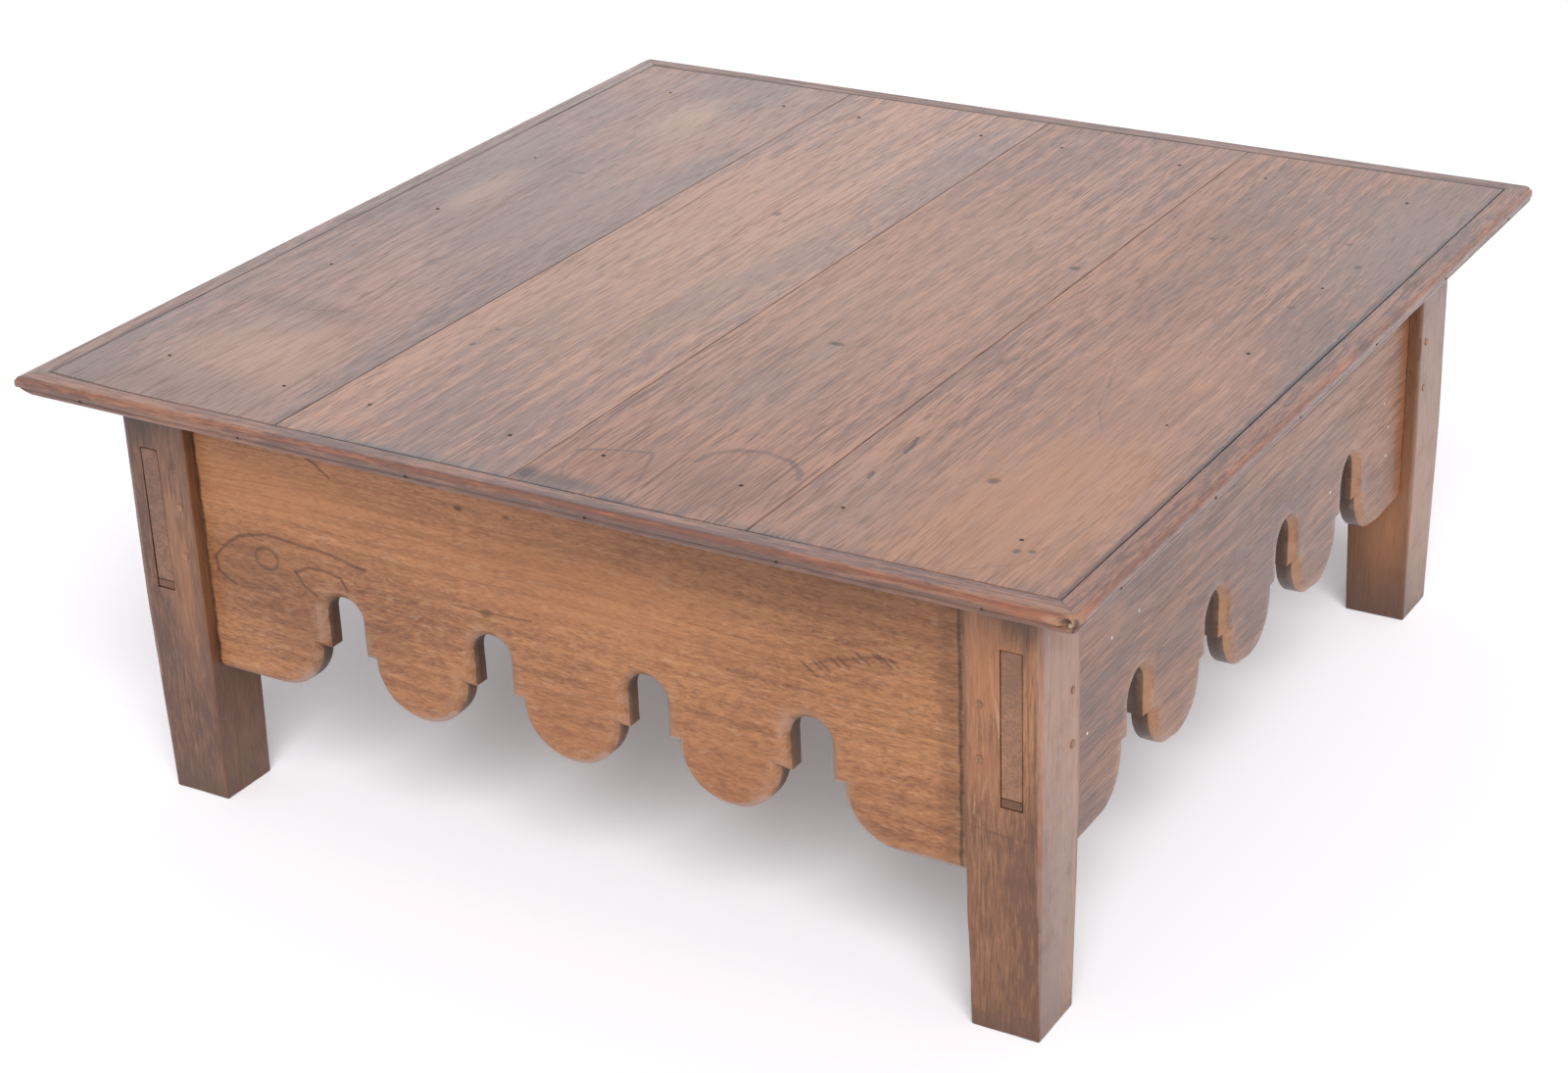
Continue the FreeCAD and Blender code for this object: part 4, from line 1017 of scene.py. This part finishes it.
def cornerBreak(side, x, z, inset, drop, toEnd):
    # how chipped a point of the broken corner is, and how much of it is lost
    if not ((side == "front" and x > 0) or (side == "right" and x < 0)):
        return 0.0, 0.0
    chipped = smooth(1.5 - fromBreak(brokenCorner, inset, drop), 0, 0.8)
    uneven = 0.6 + 0.6 * ripple((abs(x), z, 3), wearScales["chip"], 41)
    lost = chipped * brokenCorner[4] * mm * uneven
    if side == "front":
        # a hole where the corner has broken
        hole = smooth(1.3 - fromBreak(cornerHole, inset, drop), 0, 0.6)
        lost += cornerHole[4] * mm * hole * smooth(toEnd, 0, 4 * mm)
    return chipped, lost


def splitAway(z, bottom, toTip):
    # the lower edge is split away towards the tip
    uneven = splitTip["unevenness"] * ripple((toTip, 0, 0), wearScales["split"], 7)
    split = (splitTip["height"] + uneven) * mm
    return max(z, bottom + split * (1 - smooth(toTip, *splitTip["reach"])))


def tubeFaces(wide, rings):
    # joins each ring of points to the next, and closes both ends
    end = wide * (rings - 1)
    faces = []
    for start in range(0, end, wide):
        for i in range(wide):
            a, b = start + i, start + (i + 1) % wide
            faces.append([a, b, b + wide, a + wide])
    return faces + [list(range(wide))[::-1], list(range(end, end + wide))]


def makeEdging(side, seed):
    low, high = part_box("edging_" + side)
    alongX = side in ("front", "back")
    half = cadHigh.x if alongX else cadHigh.y
    e = edgingShape
    rows = edgingSection(low.z, high.z)
    count = round(2 * half / e["step"])
    near = [1 - 0.0004 * k for k in range(0, 24, 2)]  # closer stations at the mitres
    stations = sorted({-1 + 2 * i / count for i in range(count + 1)} | set(near) | {-n for n in near})
    marks = {name: [] for name in edgingMarks}
    verts = []
    for station in stations:
        broken = station < 0 if side == "front" else side == "left" and station > 0
        corner = e["sharpCorner"] if broken else e["corner"]
        for inward, z, nose, quirk, bead, seam in rows:
            x, y = station * (half - inward), inward
            if side == "front":
                y -= frontBow(x) * smooth(inward, e["corner"], e["width"])
            x, y, ahead = roundCorner(x, y, inward, half - corner, corner)
            inset, drop = half - abs(x), high.z - z
            toEnd = inset - y
            inboard = smooth(toEnd, 0, e["endFade"])
            rub = edgingRub(x, z, inboard, seed)
            loss = max(nose, bead * 0.7) * (rub + edgingBite(x, z, seed) * inboard * e["chip"])
            sag = 1 + inboard * ripple((x, y, seed), wearScales["drop"], seed)
            lower = e["drop"] * sag + nose * 0.5 * rub
            chipped, lost = cornerBreak(side, x, z, inset, drop, toEnd)
            if inward < corner:
                loss += lost
            if broken:
                z = splitAway(z, low.z, math.hypot(inset, y))
            x += ahead.x * loss
            y += ahead.y * loss
            verts.append(Vector((x, y, min(z - lower if z > high.z - e["dropDepth"] else z, high.z))))
            redder = 0.4 + 0.6 * smooth(x, -0.3, 0.1) if side == "front" else 1.0
            values = (nose * redder, quirk, bead, seam, math.exp(-max(toEnd, 0) / e["mitre"]), chipped)
            for name, value in zip(edgingMarks, values):
                marks[name].append(value)
    verts = setOnSide(verts, side, low, high)
    board = {**edgingSheen, **edgingLooks[side]}
    board["edges"] += edgingEdges
    wood = makeWood("edgingWood_" + side, grain="x" if alongX else "y",
                    shift=(seed * 0.47, seed * 0.23, 0.1), **board)
    faces = tubeFaces(len(rows), len(stations))
    addPiece("edging_worn_" + side, verts, faces, marks, wood, "edging_wood", "edging_" + side, 50)


for seed, side in enumerate(sideTurns, start=41):
    makeEdging(side, seed)
print("edging made")


# Pegs and nails: one tree sets a faceted stud at each point, facing the way that the point says

studInputs = {"Sides": "Int", "Shank radius": "Float", "Face radius": "Float", "Length": "Float",
              "Size spread": "Float", "Seed": "Int", "Finish": "Material"}
studNodes = {"given": "NodeGroupInput", "made": "NodeGroupOutput", "stud": "GeometryNodeMeshCone",
             "facing": "GeometryNodeInputNamedAttribute", "align": "FunctionNodeAlignRotationToVector",
             "smallest": "ShaderNodeMath", "spread": "FunctionNodeRandomValue",
             "across": "ShaderNodeCombineXYZ", "scatter": "GeometryNodeInstanceOnPoints",
             "real": "GeometryNodeRealizeInstances", "finish": "GeometryNodeSetMaterial"}
# each link: a node, its output, the next node, its input
studLinks = (
    ("given", "Sides", "stud", "Vertices"), ("given", "Shank radius", "stud", "Radius Bottom"),
    ("given", "Face radius", "stud", "Radius Top"), ("given", "Length", "stud", "Depth"),
    ("facing", "Attribute", "align", "Vector"), ("given", "Size spread", "smallest", 1),
    ("given", "Seed", "spread", "Seed"), ("given", "Geometry", "scatter", "Points"),
    ("stud", "Mesh", "scatter", "Instance"), ("align", "Rotation", "scatter", "Rotation"),
    ("across", "Vector", "scatter", "Scale"), ("scatter", "Instances", "real", "Geometry"),
    ("real", "Geometry", "finish", "Geometry"), ("given", "Finish", "finish", "Material"),
    ("finish", "Geometry", "made", "Geometry"),
)


def makeStudTree():
    tree = bpy.data.node_groups.new("drivenStuds", "GeometryNodeTree")
    sockets = {}
    for way in ("OUTPUT", "INPUT"):
        tree.interface.new_socket("Geometry", in_out=way, socket_type="NodeSocketGeometry")
    for name, kind in studInputs.items():
        made = tree.interface.new_socket(name, in_out="INPUT", socket_type="NodeSocket" + kind)
        sockets[name] = made.identifier
    nodes = {name: tree.nodes.new(kind) for name, kind in studNodes.items()}
    nodes["stud"].fill_type = "NGON"
    nodes["facing"].data_type = "FLOAT_VECTOR"
    nodes["facing"].inputs["Name"].default_value = "facing"
    nodes["align"].axis = "Z"
    nodes["smallest"].operation = "SUBTRACT"
    nodes["smallest"].inputs[0].default_value = 1.0
    nodes["spread"].data_type = "FLOAT"
    nodes["across"].inputs["Z"].default_value = 1.0
    # the random node holds one socket of each type under the same name
    least, most = [socket for socket in nodes["spread"].inputs if socket.type == "VALUE"][:2]
    drawn = [socket for socket in nodes["spread"].outputs if socket.type == "VALUE"][0]
    most.default_value = 1.0
    tree.links.new(nodes["smallest"].outputs[0], least)
    for axis in "XY":
        tree.links.new(drawn, nodes["across"].inputs[axis])
    for source, output, target, entry in studLinks:
        tree.links.new(nodes[source].outputs[output], nodes[target].inputs[entry])
    return tree, sockets


studTree, studSockets = makeStudTree()


def driveStuds(name, places, shape, finish, slot, *nodes):
    # places holds (foot of the stud, direction that its face looks)
    mesh = bpy.data.meshes.new(name + "_places")
    mesh.from_pydata([tuple(place) for place, way in places], [], [])
    facing = mesh.attributes.new("facing", "FLOAT_VECTOR", "POINT")
    for i, (place, way) in enumerate(places):
        facing.data[i].vector = way
    holder = bpy.data.objects.new(name + "_places", mesh)
    scene.collection.objects.link(holder)
    grow = holder.modifiers.new("studs", "NODES")
    grow.node_group = studTree
    values = {"Sides": shape["sides"], "Shank radius": shape["radius"], "Face radius": shape["faceRadius"],
              "Length": shape["length"], "Size spread": shape["spread"], "Seed": shape["seed"],
              "Finish": finish}
    for key, value in values.items():
        grow[studSockets[key]] = value
    ready = holder.evaluated_get(bpy.context.evaluated_depsgraph_get())
    solid = bpy.data.meshes.new_from_object(ready)
    solid.name = name
    holder.modifiers.remove(grow)
    bpy.data.objects.remove(holder)
    bpy.data.meshes.remove(mesh)
    piece = bpy.data.objects.new(name, solid)
    scene.collection.objects.link(piece)
    dress(piece, slot, *nodes)


def makeIron():
    tree = Tree(bpy.data.materials.new("nailIron"))
    patches = tree.noise(tree.add("ShaderNodeTexCoord").outputs["Object"], (420, 420, 420))
    colour = tree.mix(tree.range(patches, 0.4, 0.65), (0.020, 0.018, 0.018), (0.07, 0.045, 0.032))
    bump = tree.add("ShaderNodeBump", {"Height": patches, "Strength": 0.5, "Distance": 0.0004})
    rough = tree.range(patches, 0.3, 0.7, 0.5, 0.75)
    shader = tree.add("ShaderNodeBsdfPrincipled", {"Base Color": colour, "Roughness": rough, "Metallic": 0.4,
                                                   "Normal": bump.outputs["Normal"]})
    tree.add("ShaderNodeOutputMaterial", {"Surface": shader.outputs["BSDF"]})
    return tree.owner


pegShape = {"sides": 8, "radius": 4.0 * mm, "faceRadius": 3.75 * mm, "length": 40 * mm, "spread": 0.12,
            "seed": 3, "setback": 14 * mm, "heights": (293 * mm, 246 * mm), "proud": 0.5 * mm}
nailShape = {"sides": 7, "radius": 2.6 * mm, "faceRadius": 2.3 * mm, "length": 6 * mm, "spread": 0.35,
             "seed": 5, "sink": 0.05 * mm, "seamInset": 45 * mm, "sideSpacing": 165 * mm}
bradShape = {"sides": 6, "radius": 1.6 * mm, "faceRadius": 1.4 * mm, "length": 5 * mm, "spread": 0.3,
             "seed": 9, "sink": 0.1 * mm, "inset": 75 * mm, "count": 6}
pegWood = makeWood("pegWood", grain="z", shift=(0.2, 0.7, 0.4), blotchScale=30.0, base=(0.27, 0.125, 0.062))
nailIron = makeIron()


def pegPlaces():
    places = []
    depth = pegShape["length"] - pegShape["proud"]
    for corner, (sideX, sideY) in corners.items():
        outer, inner = legFaces(corner)[2:]
        rowX, rowY = inner[0] + sideX * pegShape["setback"], inner[1] + sideY * pegShape["setback"]
        for height in pegShape["heights"]:
            places.append((Vector((rowX, outer[1] - sideY * depth, height)), (0, sideY, 0)))
            places.append((Vector((outer[0] - sideX * depth, rowY, height)), (sideX, 0, 0)))
    return places


def topNailPlaces():
    nailed = ("apron_back", "apron_right", "leg_back_right")
    back, right, leg = [sum(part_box(node), Vector()) / 2 for node in nailed]
    foot = cadHigh.z - nailShape["sink"] - nailShape["length"]
    spots = []
    for name in ("left", "middle_left", "middle_right"):
        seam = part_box("top_plank_" + name)[1].x
        for inset in (-nailShape["seamInset"], nailShape["seamInset"]):
            spots += [(seam + inset, side * back.y) for side in (-1, 1)]
    for i in (-1, 0, 1):
        spots += [(side * right.x, i * nailShape["sideSpacing"]) for side in (-1, 1)]
    spots += [(sideX * leg.x, sideY * leg.y) for sideX in (-1, 1) for sideY in (-1, 1)]
    return [(Vector((x, y, foot)), (0, 0, 1)) for x, y in spots]


def bradPlaces():
    places = []
    height = (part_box("edging_front")[0].z + cadHigh.z) / 2
    reach = cadHigh.x - bradShape["inset"]
    face = cadHigh.x - bradShape["sink"] - bradShape["length"]
    for degrees in sideTurns.values():
        turn = Matrix.Rotation(math.radians(degrees), 3, "Z")
        for i in range(bradShape["count"]):
            along = -reach + 2 * reach * i / (bradShape["count"] - 1)
            places.append((turn @ Vector((along, -face, height)), tuple(turn @ Vector((0, -1, 0)))))
    return places


driveStuds("pegs_cut", pegPlaces(), pegShape, pegWood, "peg_wood", *("pegs_" + corner for corner in corners))
driveStuds("top_nail_heads", topNailPlaces(), nailShape, nailIron, "nail_iron", "top_nails")
driveStuds("edging_nail_heads", bradPlaces(), bradShape, nailIron, "nail_iron", "edging_nails")
print("pegs and nails driven")


# Floor, light and camera

stageLook = {"floor": (0.955, 0.945, 0.975), "glow": 0.15, "size": 9.0, "world": 0.45,
             "sky": (0.98, 0.965, 1.0), "key": 2.75, "keyAngle": 38, "keyFrom": (0.44, -0.62, 0.65)}
# the photograph's view: place in metres, then the camera's right, up and backward directions
viewpoint = {"place": (1.32905, -2.24320, 1.42074), "right": (0.86121, 0.50709, -0.03441),
             "up": (-0.19412, 0.39077, 0.89977), "back": (0.46971, -0.76822, 0.43497), "lens": 71.13,
             "sensor": 36.0}


def makeFloor():
    half = stageLook["size"]
    mesh = bpy.data.meshes.new("floor")
    rim = [(-half, -half, 0), (half, -half, 0), (half, half, 0), (-half, half, 0)]
    mesh.from_pydata(rim, [], [(0, 1, 2, 3)])
    # white paper, a little brighter to the camera and in reflections, so that only the shadow shows
    tree = Tree(bpy.data.materials.new("floorPaper"))
    paper = tree.add("ShaderNodeBsdfDiffuse", {"Color": (*stageLook["floor"], 1.0)})
    glow = tree.add("ShaderNodeEmission", {"Strength": tree.math("MULTIPLY", tree.seen(), stageLook["glow"])})
    both = tree.add("ShaderNodeAddShader", {0: paper.outputs["BSDF"], 1: glow.outputs["Emission"]})
    tree.add("ShaderNodeOutputMaterial", {"Surface": both.outputs["Shader"]})
    mesh.materials.append(tree.owner)
    floor = bpy.data.objects.new("floor", mesh)
    scene.collection.objects.link(floor)


def makeSky():
    tree = Tree(bpy.data.worlds.new("studio"))
    level = tree.range(tree.seen(), 0.0, 1.0, stageLook["world"], 1.0)
    sky = tree.add("ShaderNodeBackground", {"Color": (*stageLook["sky"], 1.0), "Strength": level})
    tree.add("ShaderNodeOutputWorld", {"Surface": sky.outputs["Background"]})
    scene.world = tree.owner


def makeLight():
    key = bpy.data.objects.new("keyLight", bpy.data.lights.new("keyLight", "SUN"))
    key.data.energy = stageLook["key"]
    key.data.angle = math.radians(stageLook["keyAngle"])
    key.visible_glossy = False  # the waxed top mirrors the pale room, not the lamp
    key.rotation_euler = Vector(stageLook["keyFrom"]).to_track_quat("Z", "Y").to_euler()
    scene.collection.objects.link(key)


def makeCamera():
    camera = bpy.data.objects.new("camera", bpy.data.cameras.new("camera"))
    camera.data.lens = viewpoint["lens"]
    camera.data.sensor_width = viewpoint["sensor"]
    turn = Matrix([viewpoint["right"], viewpoint["up"], viewpoint["back"]]).transposed().to_4x4()
    camera.matrix_world = Matrix.Translation(viewpoint["place"]) @ turn
    scene.collection.objects.link(camera)
    scene.camera = camera


makeFloor()
makeSky()
makeLight()
makeCamera()
scene.view_settings.view_transform = "Standard"
print("stage set")
